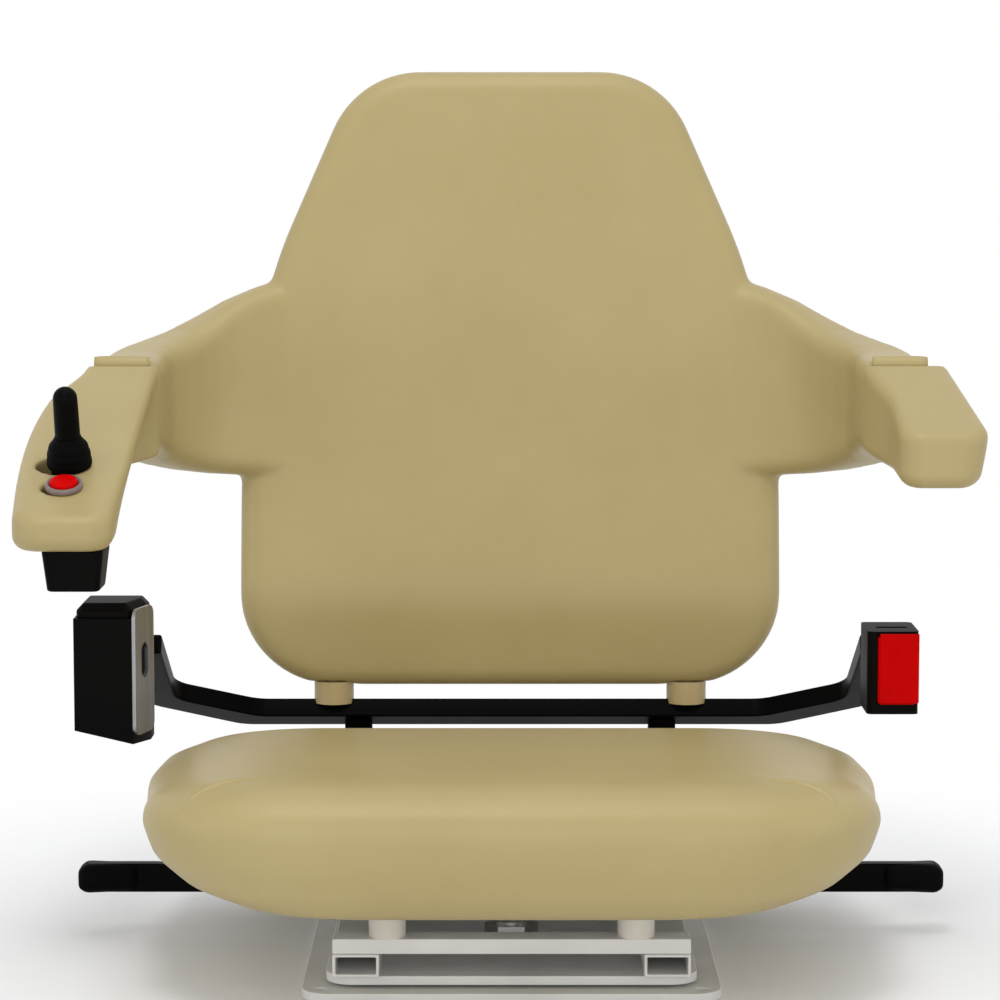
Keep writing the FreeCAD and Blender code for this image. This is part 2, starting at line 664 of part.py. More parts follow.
def make_wing_strap():
    """A bent steel strap inside the wing, with a hinge leaf and two knuckles at its end."""
    strap = body("WingStrap")
    line = [("Sizes.post_x-20", "Sizes.wing_back_y+Sizes.back_thick-Sizes.cover_thick-Sizes.board_thick-1"),
            ("Sizes.wing_end_in-28", "Sizes.wing_back_y+10"),
            ("Sizes.wing_end_in+Sizes.wing_thick/2", "Sizes.wing_bow_y"),
            ("Sizes.wing_end_in+Sizes.wing_thick/2", "Sizes.wing_end_y+Sizes.strap_thick")]
    outer = [("-(%s)" % x, y) for x, y in line]
    inner = [("-(%s)+Sizes.strap_thick*0.9" % x, "%s-Sizes.strap_thick*0.6" % y) for x, y in line[:3]]
    inner.append(("-(%s)+Sizes.strap_thick" % line[3][0], line[3][1]))
    flat = pad(strap, sketch_on(strap, "XY_Plane", outer + inner[::-1]), S + "strap_tall")
    put(strap, z="(Sizes.wing_end_low+Sizes.wing_end_top)/2-Sizes.strap_tall/2+6")
    leaf = box("WingLeaf", HINGE_X + "-Sizes.knuckle_half", HINGE_X + "+Sizes.knuckle_half",
               S + "wing_end_y", "Sizes.wing_end_y+Sizes.strap_thick",
               "Sizes.wing_end_low+14", HINGE_Z)
    gaps = []
    for side in ("-", "+"):
        start = "-Sizes.knuckle_half" if side == "-" else "+Sizes.knuckle_mid+Sizes.turn_gap"
        gaps.append(rod("WingKnuckle" + ("A" if side == "-" else "B"), S + "knuckle_r",
                        "Sizes.knuckle_half-Sizes.knuckle_mid-Sizes.turn_gap",
                        HINGE_X + start, HINGE_Y, HINGE_Z, "X"))
    room = rod("KnuckleRoom", "Sizes.knuckle_r+Sizes.turn_gap", "2*(Sizes.knuckle_mid+Sizes.turn_gap)",
               HINGE_X + "-Sizes.knuckle_mid-Sizes.turn_gap", HINGE_Y, HINGE_Z, "X")
    pin = rod("ArmPin", S + "hinge_r", "2*Sizes.knuckle_half", HINGE_X + "-Sizes.knuckle_half",
              HINGE_Y, HINGE_Z, "X")
    whole = fuse("WingBracketBlank", strap, leaf, *gaps)
    return cut("WingBracket", whole, room, pin), pin



def make_back(bar):
    def front_depth(height):
        levels = [get("back_low"), get("lumbar_height"), get("back_top")]
        depths = [get("back_y_low"), get("back_y_lumbar"), get("back_y_top")]
        for k in range(2):
            if height <= levels[k + 1] or k == 1:
                share = (height - levels[k]) / (levels[k + 1] - levels[k])
                return depths[k] + share * (depths[k + 1] - depths[k])

    def on_face(depth):
        def test(middle, along, edge):
            across_seam = abs(along.x) > 0.99 and get("back_low") + 5 < middle.z < get("back_top") - 5
            return not across_seam and abs(middle.y - front_depth(middle.z) - depth) < 5
        return test

    trimmed = common("BackTrimmed", back_block("BackBlock", "0", "1"),
                     back_slab("BackSlab", "", "+Sizes.back_thick"))
    panel = rounded("BackPanel", trimmed, (get("back_roll"), on_face(0)),
                    (get("back_rear_roll"), on_face(get("back_thick"))))
    wing = make_wing_foam()
    inner_block = back_block("CoverBlock", S + "cover_inset", "0.6")
    board = common("BackBoard", inner_block,
                   back_slab("BoardSlab", "+Sizes.back_thick-Sizes.cover_thick-Sizes.board_thick",
                             "+Sizes.back_thick-Sizes.cover_thick"))
    cover = common("BackCover", inner_block,
                   back_slab("CoverSlab", "+Sizes.back_thick-Sizes.cover_thick", "+Sizes.back_thick"))
    foot = rod("PostFoot", S + "post_r", "Sizes.back_low+3-Sizes.post_foot", "-Sizes.post_x",
               S + "post_y", S + "post_foot")
    tang = rod("PostTang", S + "tang_r", "Sizes.tang_top-Sizes.post_foot", "-Sizes.post_x",
               S + "post_y", S + "post_foot")
    post = cut("Post", fuse("PostBlank", foot, tang), bar)
    bracket, pin = make_wing_strap()
    strap = cut("WingBracketTrim", bracket, board)
    relief = rod("SeamRelief", "Sizes.knuckle_r+1.5", "Sizes.wing_end_out-Sizes.wing_end_in+20",
                 "-Sizes.wing_end_out-10", HINGE_Y, HINGE_Z, "X")
    left_side = fuse("BackLeftHollow", post, strap, relief, pin)
    right_side = mirrored("BackRightHollow", left_side)
    blank = fuse("BackBlank", panel, wing, mirrored("WingFoamMirror", wing))
    keep(cut("BackMoulding", blank, board, cover, left_side, right_side), "back_moulding")
    keep(board, "back_board")
    keep(cover, "back_cover")
    keep_pair(post, "back_post")
    keep_pair(strap, "wing_bracket")
    keep_pair(pin, "arm_hinge_pin")


# Arms: skinned foam pads on steel cores that fold up about the hinge pins
def arm_profile(length, front_depth, pod):
    """Corners of an arm's side profile, seam face first."""
    fall = "*tan(Sizes.arm_slope*1deg)"
    front = HINGE_Y + "-" + length
    low_front = "Sizes.wing_end_top-%s%s-%s" % (length, fall, front_depth)
    corners = [(HINGE_Y, S + "wing_end_top"), (front, "Sizes.wing_end_top-%s%s" % (length, fall)),
               (front, low_front)]
    if pod:
        step = "(%s-Sizes.pod_length)" % length
        corners.append((front + "+Sizes.pod_length-8", low_front))
        corners.append((front + "+Sizes.pod_length+8",
                        "Sizes.wing_end_top-%s%s-Sizes.arm_depth_mid" % (step, fall)))
    corners.append((HINGE_Y, S + "wing_end_low"))
    return corners


def make_arm(side, length, front_depth, pod, inner, outer):
    """An arm pad as if on the left: its side profile trimmed to its plan, with rolled edges."""
    slab = body("ArmProfile" + side)
    pad(slab, sketch_on(slab, "YZ_Plane", arm_profile(length, front_depth, pod)), "2*Sizes.arm_out+60", True)
    block = body("ArmPlan" + side)
    front = HINGE_Y + "-" + length
    plan = [("-Sizes.wing_end_out", HINGE_Y), ("-" + outer, front), ("-" + inner, front),
            ("-Sizes.wing_end_in", HINGE_Y)]
    upright = pad(block, sketch_on(block, "XY_Plane", plan), "Sizes.wing_end_top+50")
    front_y = get("wing_end_y") - get("seam_gap") - get(length.replace(S, ""))
    fillet(block, upright, S + "arm_corner", lambda middle, along, edge:
           abs(along.z) > 0.99 and middle.y < front_y + 8)

    def rolled(middle, along, edge):
        behind = get("wing_end_y") - get("seam_gap") - middle.y
        top_line = get("wing_end_top") - behind * math.tan(math.radians(get("arm_slope")))
        under_front = middle.y < front_y + 1 and abs(along.z) < 0.5
        return abs(middle.z - top_line) < 2.5 or under_front

    pad_shape = rounded("ArmPad" + side, common("ArmTrimmed" + side, block, slab), (get("arm_roll"), rolled))
    leaf = box("ArmLeaf" + side, HINGE_X + "-Sizes.knuckle_mid", HINGE_X + "+Sizes.knuckle_mid",
               HINGE_Y + "-Sizes.strap_thick", HINGE_Y, "Sizes.wing_end_low+14", HINGE_Z)
    knuckle = rod("ArmKnuckle" + side, S + "knuckle_r", "2*Sizes.knuckle_mid",
                  HINGE_X + "-Sizes.knuckle_mid", HINGE_Y, HINGE_Z, "X")
    run = "(%s*0.62)" % length
    beam = doc.addObject("Part::Box", "ArmBeam" + side)
    bind(beam, Length=S + "arm_core_wide", Width=run, Height=S + "arm_core_tall")
    turn(beam, Vector(1, 0, 0), S + "arm_slope")
    put(beam, HINGE_X + "-Sizes.arm_core_wide/2", "%s-3-%s*cos(Sizes.arm_slope*1deg)" % (HINGE_Y, run),
        "Sizes.wing_end_top-10-Sizes.arm_core_tall-%s*sin(Sizes.arm_slope*1deg)" % run)
    return pad_shape, fuse("ArmCoreBlank" + side, leaf, knuckle, beam)


def top_rod(name, radius, start, length, run):
    """A round bar square to the left arm's top, from a bound height above it."""
    made = doc.addObject("Part::Cylinder", name)
    bind(made, Radius=radius, Height=length)
    turn(made, Vector(1, 0, 0), S + "arm_slope")
    return on_top(made, start, run)


def on_top(thing, start, run):
    """Places a turned object at a bound height above a point of the left arm's top."""
    sine = "sin(Sizes.arm_slope*1deg)"
    cosine = "cos(Sizes.arm_slope*1deg)"
    return put(thing, S + "toggle_x", "%s-%s*%s-(%s)*%s" % (HINGE_Y, run, cosine, start, sine),
               "Sizes.wing_end_top-%s*%s+(%s)*%s" % (run, sine, start, cosine))


def make_arms():
    """Both arms, with the toggle, the stop button and the control box on the left one."""
    wing_knuckles = rod("ArmHingeRoom", "Sizes.knuckle_r+0.3", "2*(Sizes.knuckle_half+Sizes.turn_gap)",
                        HINGE_X + "-Sizes.knuckle_half-Sizes.turn_gap", HINGE_Y, HINGE_Z, "X")
    bore = rod("ArmHingeBore", "Sizes.hinge_r+Sizes.pin_fit", "2*Sizes.knuckle_half",
               HINGE_X + "-Sizes.knuckle_half", HINGE_Y, HINGE_Z, "X")
    left_pad, core = make_arm("Left", S + "arm_length_left", S + "arm_depth_front", True,
                              S + "arm_in", S + "arm_out")
    core = keep(cut("ArmCoreLeft", core, bore), "arm_core_left")
    run = S + "toggle_run"
    bore_room = top_rod("SwitchBore", "Sizes.toggle_r-0.5", "-Sizes.switch_deep+Sizes.switch_floor",
                        S + "switch_deep", run)
    switch = top_rod("SwitchBlank", S + "switch_r", "-Sizes.switch_deep", S + "switch_deep", run)
    toggle_pin = doc.addObject("Part::Cylinder", "TogglePin")
    bind(toggle_pin, Radius="1.5", Height="2*Sizes.switch_r-3")
    turn(toggle_pin, Vector(1, 0, 0), "Sizes.arm_slope+90")
    sine = "sin(Sizes.arm_slope*1deg)"
    cosine = "cos(Sizes.arm_slope*1deg)"
    half = "(Sizes.switch_r-1.5)"
    put(toggle_pin, S + "toggle_x",
        "%s-%s*%s+Sizes.toggle_drop*%s+%s*%s" % (HINGE_Y, run, cosine, sine, half, cosine),
        "Sizes.wing_end_top-%s*%s-Sizes.toggle_drop*%s+%s*%s" % (run, sine, cosine, half, sine))
    keep(cut("Switch", switch, bore_room, toggle_pin), "toggle_switch")
    keep(toggle_pin, "toggle_pin")
    hub = doc.addObject("Part::Cylinder", "ToggleHub")
    bind(hub, Radius="Sizes.stem_r+1.5", Height=S + "toggle_hub")
    turn(hub, Vector(1, 0, 0), "Sizes.arm_slope+90")
    put(hub, S + "toggle_x",
        "%s-%s*%s+Sizes.toggle_drop*%s+Sizes.toggle_hub/2*%s" % (HINGE_Y, run, cosine, sine, cosine),
        "Sizes.wing_end_top-%s*%s-Sizes.toggle_drop*%s+Sizes.toggle_hub/2*%s" % (run, sine, cosine, sine))
    stem = top_rod("ToggleStem", S + "stem_r", "-Sizes.toggle_drop", "Sizes.toggle_drop+Sizes.boot_tall+5", run)
    handle = top_rod("ToggleHandle", S + "toggle_r", "Sizes.boot_tall+0.4",
                     "Sizes.toggle_tall-Sizes.toggle_r*0.6-Sizes.boot_tall-0.4", run)
    crown = doc.addObject("Part::Cone", "ToggleCrown")
    bind(crown, Radius1=S + "toggle_r", Radius2="Sizes.toggle_r*0.6", Height="Sizes.toggle_r*0.6")
    turn(crown, Vector(1, 0, 0), S + "arm_slope")
    on_top(crown, "Sizes.toggle_tall-Sizes.toggle_r*0.6", run)
    pin_hole = doc.addObject("Part::Offset", "TogglePinRoom")
    pin_hole.Source = toggle_pin
    bind(pin_hole, Value=S + "pin_fit")
    keep(cut("Toggle", fuse("ToggleBlank", hub, stem, handle, crown), pin_hole), "toggle_lever")
    bell = doc.addObject("Part::Cone", "BootOuter")
    bind(bell, Radius1=S + "boot_r", Radius2="Sizes.toggle_r+1", Height=S + "boot_tall")
    turn(bell, Vector(1, 0, 0), S + "arm_slope")
    on_top(bell, "0.2", run)
    hollow = doc.addObject("Part::Cone", "BootInner")
    bind(hollow, Radius1="Sizes.boot_r-2", Radius2="Sizes.toggle_r-1.5", Height="Sizes.boot_tall-2")
    turn(hollow, Vector(1, 0, 0), S + "arm_slope")
    on_top(hollow, "0.2", run)
    throat = top_rod("BootThroat", "Sizes.stem_r+0.3", "0.2", S + "boot_tall", run)
    keep(cut("Boot", bell, hollow, throat), "toggle_boot")
    run = S + "stop_run"
    press = top_rod("StopButton", S + "stop_r", "-Sizes.stop_bore+Sizes.stop_travel+4",
                    "Sizes.stop_bore-Sizes.stop_travel-4+Sizes.stop_tall", run)
    ring = top_rod("StopRingDisc", S + "stop_ring_r", "0", S + "stop_ring_tall", run)
    stop_bore = top_rod("StopBore", "Sizes.stop_r+0.2", "-Sizes.stop_bore",
                        "Sizes.stop_bore+Sizes.stop_ring_tall+1", run)
    contact = top_rod("StopContact", "Sizes.stop_r-3", "-Sizes.stop_bore", "3.7", run)
    keep(press, "stop_button")
    keep(cut("StopRing", ring, stop_bore), "stop_ring")
    keep(contact, "stop_contact")
    keep(cut("ArmLeft", left_pad, core, wing_knuckles, switch, bore_room, stop_bore), "arm_pad_left")
    case = doc.addObject("Part::Feature", "ControlBox")
    front_y = get("wing_end_y") - get("seam_gap") - get("arm_length_left")
    fall = get("arm_length_left") * math.tan(math.radians(get("arm_slope")))
    under = get("wing_end_top") - fall - get("arm_depth_front")
    middle = Vector(-(get("arm_out") + get("arm_in")) / 2 + 6, front_y + 10 + get("box_deep") / 2, under)
    taper = (get("box_wide") - get("box_wide_low")) / 2
    loops = [rounded_loop(middle - Vector(0, 0, down), Vector(1, 0, 0), Vector(0, 1, 0),
                          get("box_wide") / 2 - inwards, get("box_deep") / 2 - inwards, 5)
             for down, inwards in ((0, 0), (get("box_tall"), taper))]
    case.Shape = Part.makeLoft(loops, True, True)
    keep(case, "control_box")
    short_pad, short_core = make_arm("Right", S + "arm_length_right", S + "arm_depth_right", False,
                                      S + "arm_in_right", S + "arm_out_right")
    short_core = cut("ArmCoreShort", short_core, bore)
    keep(mirrored("ArmCoreRight", short_core), "arm_core_right")
    keep(mirrored("ArmRight", cut("ArmShort", short_pad, short_core, wing_knuckles)), "arm_pad_right")


# Seat: a crowned cushion on a steel pan with two hinge ears
def cushion_loop(height, tilt, half, front, rear, corner):
    """A plan outline of the cushion with round corners, tilted about the middle."""
    middle = Vector(0, (front + rear) / 2, 0)
    loop = rounded_loop(middle, Vector(1, 0, 0), Vector(0, 1, 0), half, (rear - front) / 2, corner)
    loop.Placement = FreeCAD.Placement(Vector(0, 0, height), FreeCAD.Rotation(Vector(-1, 0, 0), tilt))
    return loop


def make_seat():
    half = get("seat_half")
    front = get("seat_front")
    rear = get("seat_rear")
    low = get("seat_low")
    high = get("seat_high")
    flat = get("seat_tilt_low")
    steep = get("seat_tilt")
    corner = get("seat_corner")
    widest = low + get("seat_widest_share") * (high - low)
    loops = []
    for step in range(-4, 5):
        angle = math.radians(22.5 * step)
        part = "seat_draw_" if step < 0 else "seat_roll_"
        corner_end = get("seat_corner_low" if step < 0 else "seat_corner_top")
        inwards = 1 - math.cos(angle)
        height = widest + (widest - low if step < 0 else high - widest) * math.sin(angle)
        tilt = flat + (height - low) / (high - low) * (steep - flat)
        loops.append(cushion_loop(height, tilt, half - inwards * get(part + "side"),
                                  front + inwards * get(part + "front"), rear - inwards * get(part + "rear"),
                                  corner + inwards * (corner_end - corner)))
    foam = doc.addObject("Part::Feature", "CushionFoam")
    foam.Shape = Part.makeLoft(loops, True, True)
    pan = body("SeatPan")
    y_tab = "Sizes.fold_y-Sizes.ear_r"
    side = "(Sizes.ear_x+Sizes.ear_thick/2)"
    right = [(S + "pan_half", S + "pan_front"), (S + "pan_half", y_tab), (side, y_tab),
             (side, "Sizes.fold_y+Sizes.ear_r")]
    left = [("-" + across, up) for across, up in reversed(right)]
    pad(pan, sketch_on(pan, "XY_Plane", right + left), S + "pan_thick")
    turn(pan, Vector(-1, 0, 0), S + "seat_tilt_low")
    put(pan, y="-Sizes.pan_thick*sin(Sizes.seat_tilt_low*1deg)",
        z="Sizes.seat_low-Sizes.pan_thick*cos(Sizes.seat_tilt_low*1deg)")
    web = box("EarWeb", "-Sizes.ear_x-Sizes.ear_thick/2", "-Sizes.ear_x+Sizes.ear_thick/2", y_tab,
              "Sizes.fold_y+Sizes.ear_r", "Sizes.seat_low-Sizes.pan_thick/2-Sizes.fold_y*tan(Sizes.seat_tilt_low*1deg)",
              S + "fold_z")
    eye = rod("EarEye", S + "ear_r", S + "ear_thick", "-Sizes.ear_x-Sizes.ear_thick/2", S + "fold_y",
              S + "fold_z", "X")
    bore = rod("EarBore", "Sizes.fold_pin_r+Sizes.pin_fit", "60", "-Sizes.ear_x-Sizes.ear_thick-40",
               S + "fold_y", S + "fold_z", "X")
    room = rod("PinRoom", "Sizes.fold_pin_r+0.5", "70", "-Sizes.ear_x-60", S + "fold_y", S + "fold_z", "X")
    ear = fuse("Ear", web, eye)
    ears = fuse("Ears", ear, mirrored("EarMirror", ear))
    bores = fuse("Bores", bore, mirrored("BoreMirror", bore))
    rooms = fuse("Rooms", room, mirrored("RoomMirror", room))
    keep(cut("Pan", fuse("PanBlank", pan, ears), bores), "seat_pan")
    keep(cut("Cushion", foam, fuse("EarsWithRooms", ears, rooms)), "seat_cushion")


# Swivel levers: either lifts the latch pin out of the base plate
def make_levers():
    lever = body("Lever")
    low = S + "lever_low"
    grip_in = "-Sizes.lever_end+Sizes.lever_grip"
    corners = [("-Sizes.lever_inner", low), ("-Sizes.lever_inner", low + "+Sizes.lever_tall"),
               ("-Sizes.rail_x-Sizes.lever_flare", low + "+Sizes.lever_tall"),
               (grip_in + "+Sizes.lever_shoulder", low + "+Sizes.lever_tall_out"),
               ("-Sizes.lever_end+Sizes.lever_tip", low + "+Sizes.lever_tall_out"),
               ("-Sizes.lever_end+Sizes.lever_tip", low), (grip_in + "+Sizes.lever_shoulder", low)]
    outline = sketch_on(lever, "XZ_Plane", corners,
                        [("-Sizes.rail_x", S + "lever_pin_z", "Sizes.lever_pin_r+Sizes.pin_fit")])
    pad(lever, outline, S + "lever_thick", True)
    put(lever, y=S + "lever_y")
    grip = body("Grip")
    plan = [("-Sizes.lever_end", "-Sizes.grip_wide/2"), ("-Sizes.lever_end", "Sizes.grip_wide/2"),
            (grip_in, "Sizes.grip_narrow/2"), (grip_in, "-Sizes.grip_narrow/2")]
    block = pad(grip, sketch_on(grip, "XY_Plane", plan), S + "grip_tall")
    posts = fillet(grip, block, S + "grip_corner", upright_edge, "GripCorners")
    chamfer(grip, posts, S + "grip_bevel", lambda middle, along, edge: abs(along.z) < 0.1, "GripBevels")
    put(grip, y=S + "lever_y", z=low + "+Sizes.lever_tall_out/2-Sizes.grip_tall/2")
    keep_pair(lever, "swivel_lever")
    keep_pair(cut("GripSleeve", grip, lever), "lever_grip")
    reach = "(Sizes.lever_thick/2+Sizes.turn_gap+Sizes.cheek_thick)"
    pin = rod("LeverPin", S + "lever_pin_r", "2*" + reach, "-Sizes.rail_x", "Sizes.lever_y-" + reach,
              S + "lever_pin_z", "Y")
    outer = box("CheekOuter", "-Sizes.rail_x-Sizes.cheek_wide/2", "-Sizes.rail_x+Sizes.cheek_wide/2",
                "Sizes.lever_y-" + reach, "Sizes.lever_y+" + reach, RAIL_TOP, RAIL_TOP + "+Sizes.cheek_tall")
    slot = box("CheekSlot", "-Sizes.rail_x-Sizes.cheek_wide", "-Sizes.rail_x+Sizes.cheek_wide",
               "Sizes.lever_y-%s+Sizes.cheek_thick" % reach, "Sizes.lever_y+%s-Sizes.cheek_thick" % reach,
               RAIL_TOP + "-1", RAIL_TOP + "+Sizes.cheek_tall-Sizes.cheek_thick")
    keep_pair(cut("Cheeks", outer, slot, pin), "lever_bracket")
    keep_pair(pin, "lever_pin")
    head_low = "(Sizes.lever_low+Sizes.lever_tall+Sizes.latch_gap)"
    shank = rod("LatchShank", S + "latch_r", head_low + "+1-Sizes.latch_low", "0", S + "lever_y", S + "latch_low")
    head = rod("LatchHead", S + "latch_head_r", S + "latch_head_tall", "0", S + "lever_y", head_low)
    keep(fuse("LatchPin", shank, head), "latch_pin")
    bush = rod("GuideOuter", S + "guide_r", S + "guide_tall", "0", S + "lever_y", TOP_LOW)
    bore = rod("GuideBore", "Sizes.latch_r+Sizes.pin_fit", S + "guide_tall", "0", S + "lever_y", TOP_LOW)
    keep(cut("Guide", bush, bore), "latch_guide")


# Lap belt: a retractor with its latch plate on one side, a buckle on the other

def reel_plan(inwards):
    """Corners of the retractor in plan, drawn in by a bound amount."""
    return [("-Sizes.reel_out+" + inwards, "Sizes.reel_front+" + inwards),
            ("-Sizes.reel_in-Sizes.chamfer_step-%s*0.7" % inwards, "Sizes.reel_front+" + inwards),
            ("-Sizes.reel_in-" + inwards, "Sizes.reel_front+Sizes.chamfer_run+%s*0.3" % inwards),
            ("-Sizes.reel_in-" + inwards, "Sizes.reel_rear-" + inwards),
            ("-Sizes.reel_out+" + inwards, "Sizes.reel_rear-" + inwards)]


def make_belt(bar):
    case = body("ReelCase")
    block = pad(case, sketch_on(case, "XY_Plane", reel_plan("0")), "Sizes.reel_top-Sizes.reel_low")
    put(case, z=S + "reel_low")
    slant = body("ReelSlant")
    wedge = [("-Sizes.reel_out-1", "Sizes.reel_low-1"), ("-Sizes.reel_in+1", "Sizes.reel_low-1"),
             ("-Sizes.reel_in+1", S + "reel_low"), ("-Sizes.reel_out-1", "Sizes.reel_low+Sizes.reel_slant")]
    pad(slant, sketch_on(slant, "XZ_Plane", wedge), "400", True)
    room = box("ReelRoom", "-Sizes.reel_out+Sizes.reel_wall", "-Sizes.reel_in-Sizes.chamfer_step-Sizes.reel_wall",
               "Sizes.reel_front+Sizes.reel_wall", "Sizes.reel_rear-Sizes.reel_wall-9",
               "Sizes.reel_low+Sizes.reel_slant+Sizes.reel_wall", "Sizes.reel_top+1")
    keep(cut("ReelHousing", case, slant, room, bar), "retractor_housing")
    spool = rod("Spool", S + "spool_r", "Sizes.reel_out-Sizes.reel_in-Sizes.chamfer_step-2*Sizes.reel_wall",
                "-Sizes.reel_out+Sizes.reel_wall", "Sizes.reel_front+Sizes.reel_wall+Sizes.spool_r+1",
                "(Sizes.reel_low+Sizes.reel_top)/2+5", "X")
    keep(spool, "belt_spool")
    cap = body("ReelCap")
    lid = pad(cap, sketch_on(cap, "XY_Plane", reel_plan("1.5")), S + "cap_tall")
    sides = fillet(cap, lid, "6", upright_edge, "CapCorners")
    chamfer(cap, sides, "Sizes.cap_tall*0.5", lambda middle, along, edge: abs(along.z) < 0.1
            and middle.z > get("cap_tall") - 0.1, "CapBevel")
    put(cap, z=S + "reel_top")
    keep(cap, "retractor_cap")
    plate = body("LatchPlate")
    half = "Sizes.tongue_wide/2"
    corners = [("-" + half, "0"), (half, "0"), (half, "Sizes.tongue_top-Sizes.tongue_low"),
               ("-" + half, "Sizes.tongue_top-Sizes.tongue_low")]
    face = sketch_on(plate, "XZ_Plane", corners)
    slot_x = "Sizes.slot_wide/2"
    middle = "(Sizes.tongue_top-Sizes.tongue_low)*0.58"
    slot_y = "Sizes.slot_long/2"
    ring = [(slot_x, "-" + slot_y + "+4"), (slot_x, slot_y + "-4"), (slot_x + "-4", slot_y),
            ("-" + slot_x + "+4", slot_y), ("-" + slot_x, slot_y + "-4"), ("-" + slot_x, "-" + slot_y + "+4"),
            ("-" + slot_x + "+4", "-" + slot_y), (slot_x + "-4", "-" + slot_y)]
    add_outline(face, [(across, middle + "+" + up) for across, up in ring])
    sheet_metal = pad(plate, face, S + "tongue_thick")
    fillet(plate, sheet_metal, "7", lambda middle, along, edge: abs(along.y) > 0.99
           and abs(middle.x) > get("tongue_wide") / 2 - 1, "PlateCorners")
    turn(plate, Vector(0, 0, 1), "atan(Sizes.chamfer_run/Sizes.chamfer_step)")
    put(plate, "-Sizes.reel_in-Sizes.chamfer_step/2", "Sizes.reel_front+Sizes.chamfer_run/2", S + "tongue_low")
    keep(plate, "latch_plate")
    shell = body("BuckleShell")
    blank = pad(shell, sketch_on(shell, "XY_Plane", [
        (S + "buckle_in", S + "buckle_front"), (S + "buckle_out", S + "buckle_front"),
        (S + "buckle_out", S + "buckle_rear"), (S + "buckle_in", S + "buckle_rear")]),
        "Sizes.buckle_top-Sizes.buckle_low")
    fillet(shell, blank, "4", upright_edge, "BuckleCorners")
    put(shell, z=S + "buckle_low")
    face_limits = [("Sizes.buckle_in+7", "Sizes.buckle_out-1.8"), ("Sizes.buckle_low+7", "Sizes.buckle_top-3")]
    (x_low, x_high), (z_low, z_high) = face_limits
    front = "Sizes.buckle_front-Sizes.press_proud"
    press = body("BuckleButton")
    button = pad(press, sketch_on(press, "XZ_Plane", [(x_low, z_low), (x_high, z_low), (x_high, z_high),
                                                      (x_low, z_high)]), S + "press_deep")
    fillet(press, button, "2.5", lambda middle, along, edge: middle.y < -get("press_deep") + 0.1
           or abs(along.y) > 0.99, "ButtonRolls")
    put(press, y=front + "+Sizes.press_deep")
    keep(press, "buckle_button")
    well = box("ButtonWell", x_low + "-0.3", x_high + "+0.3", "Sizes.buckle_front-1",
               front + "+Sizes.press_deep+Sizes.press_travel+0.3", z_low + "-0.3", z_high + "+0.3")
    slot = box("TongueSlot", "Sizes.buckle_in+8", "Sizes.buckle_out-6", "Sizes.buckle_front+18",
               "Sizes.buckle_front+24", "Sizes.buckle_top-26", "Sizes.buckle_top+1")
    keep(cut("Buckle", shell, well, slot, bar), "buckle_body")


make_base()
make_swivel_plate()
crossbar = make_crossbar()
make_frame(crossbar)
make_back(crossbar)
make_arms()
make_seat()
make_levers()
make_belt(crossbar)
doc.recompute()

# Every object is sound before anything is written
for item in doc.Objects:
    if "Invalid" in item.State or "Error" in item.State:
        raise RuntimeError("failed: %s" % item.Name)
os.makedirs("parts", exist_ok=True)
for item in finished:
    if item.Shape.isNull() or not item.Shape.isValid() or not item.Shape.Solids:
        raise RuntimeError("not sound: %s" % item.Label)
    item.Shape.exportStep("parts/%s.step" % item.Label)
print("sub-parts:", len(finished))
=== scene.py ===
# %% [markdown]
# A stairlift chair: a winged back, a folding seat and two folding arms, all of skinned foam,
# on a black bar and a pale steel frame that turns on a bolted base.
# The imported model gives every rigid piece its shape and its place, in metres.
# This lesson gives each piece its finish, and rebuilds the foam pieces as fine smooth meshes,
# because a foam moulding has soft edges that a solid modeller only hints at.

# %% The frame
import bmesh
import bpy
import math
from mathutils import Matrix, Vector
from mathutils.bvhtree import BVHTree


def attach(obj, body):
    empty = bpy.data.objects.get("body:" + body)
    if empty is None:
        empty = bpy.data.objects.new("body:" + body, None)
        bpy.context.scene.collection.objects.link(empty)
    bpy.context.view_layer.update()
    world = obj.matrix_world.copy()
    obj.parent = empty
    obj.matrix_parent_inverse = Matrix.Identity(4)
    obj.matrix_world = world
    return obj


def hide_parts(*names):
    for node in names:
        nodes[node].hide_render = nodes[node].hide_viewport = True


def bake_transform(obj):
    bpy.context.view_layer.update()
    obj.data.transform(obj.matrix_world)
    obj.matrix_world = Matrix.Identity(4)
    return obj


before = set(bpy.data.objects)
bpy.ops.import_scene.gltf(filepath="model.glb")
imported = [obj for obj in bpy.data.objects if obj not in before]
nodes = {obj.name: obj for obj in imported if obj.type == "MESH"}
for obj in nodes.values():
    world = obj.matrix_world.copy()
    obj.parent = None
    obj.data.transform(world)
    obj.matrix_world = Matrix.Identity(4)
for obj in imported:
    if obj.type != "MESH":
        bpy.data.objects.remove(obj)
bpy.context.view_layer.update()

# %% [markdown]
# The camera stands in front of the chair, a little above the seat and looking slightly down.
# A long lens far away keeps the arms from looking larger than the back, as on the photograph.
# It comes first, so that every later piece can be judged in the same view.

# %% Camera
camera_range = 2.2
look_down = math.radians(6.0)
look_at = Vector((-0.0075, 0.0, 0.310))
camera_data = bpy.data.cameras.new("camera")
camera_data.sensor_width = 36.0
camera_data.lens = 118.8
camera = bpy.data.objects.new("camera", camera_data)
bpy.context.scene.collection.objects.link(camera)
camera.location = look_at + camera_range * Vector((0.0, -math.cos(look_down), math.sin(look_down)))
camera.rotation_euler = (math.radians(90.0) - look_down, 0.0, 0.0)
bpy.context.scene.camera = camera
print("camera at", tuple(round(v, 3) for v in camera.location))

# %% [markdown]
# Colours are written as the eye reads them on a screen and turned into the linear values
# that a shader wants. One helper does that, so that every finish below can be read as a colour.

# %% Colours


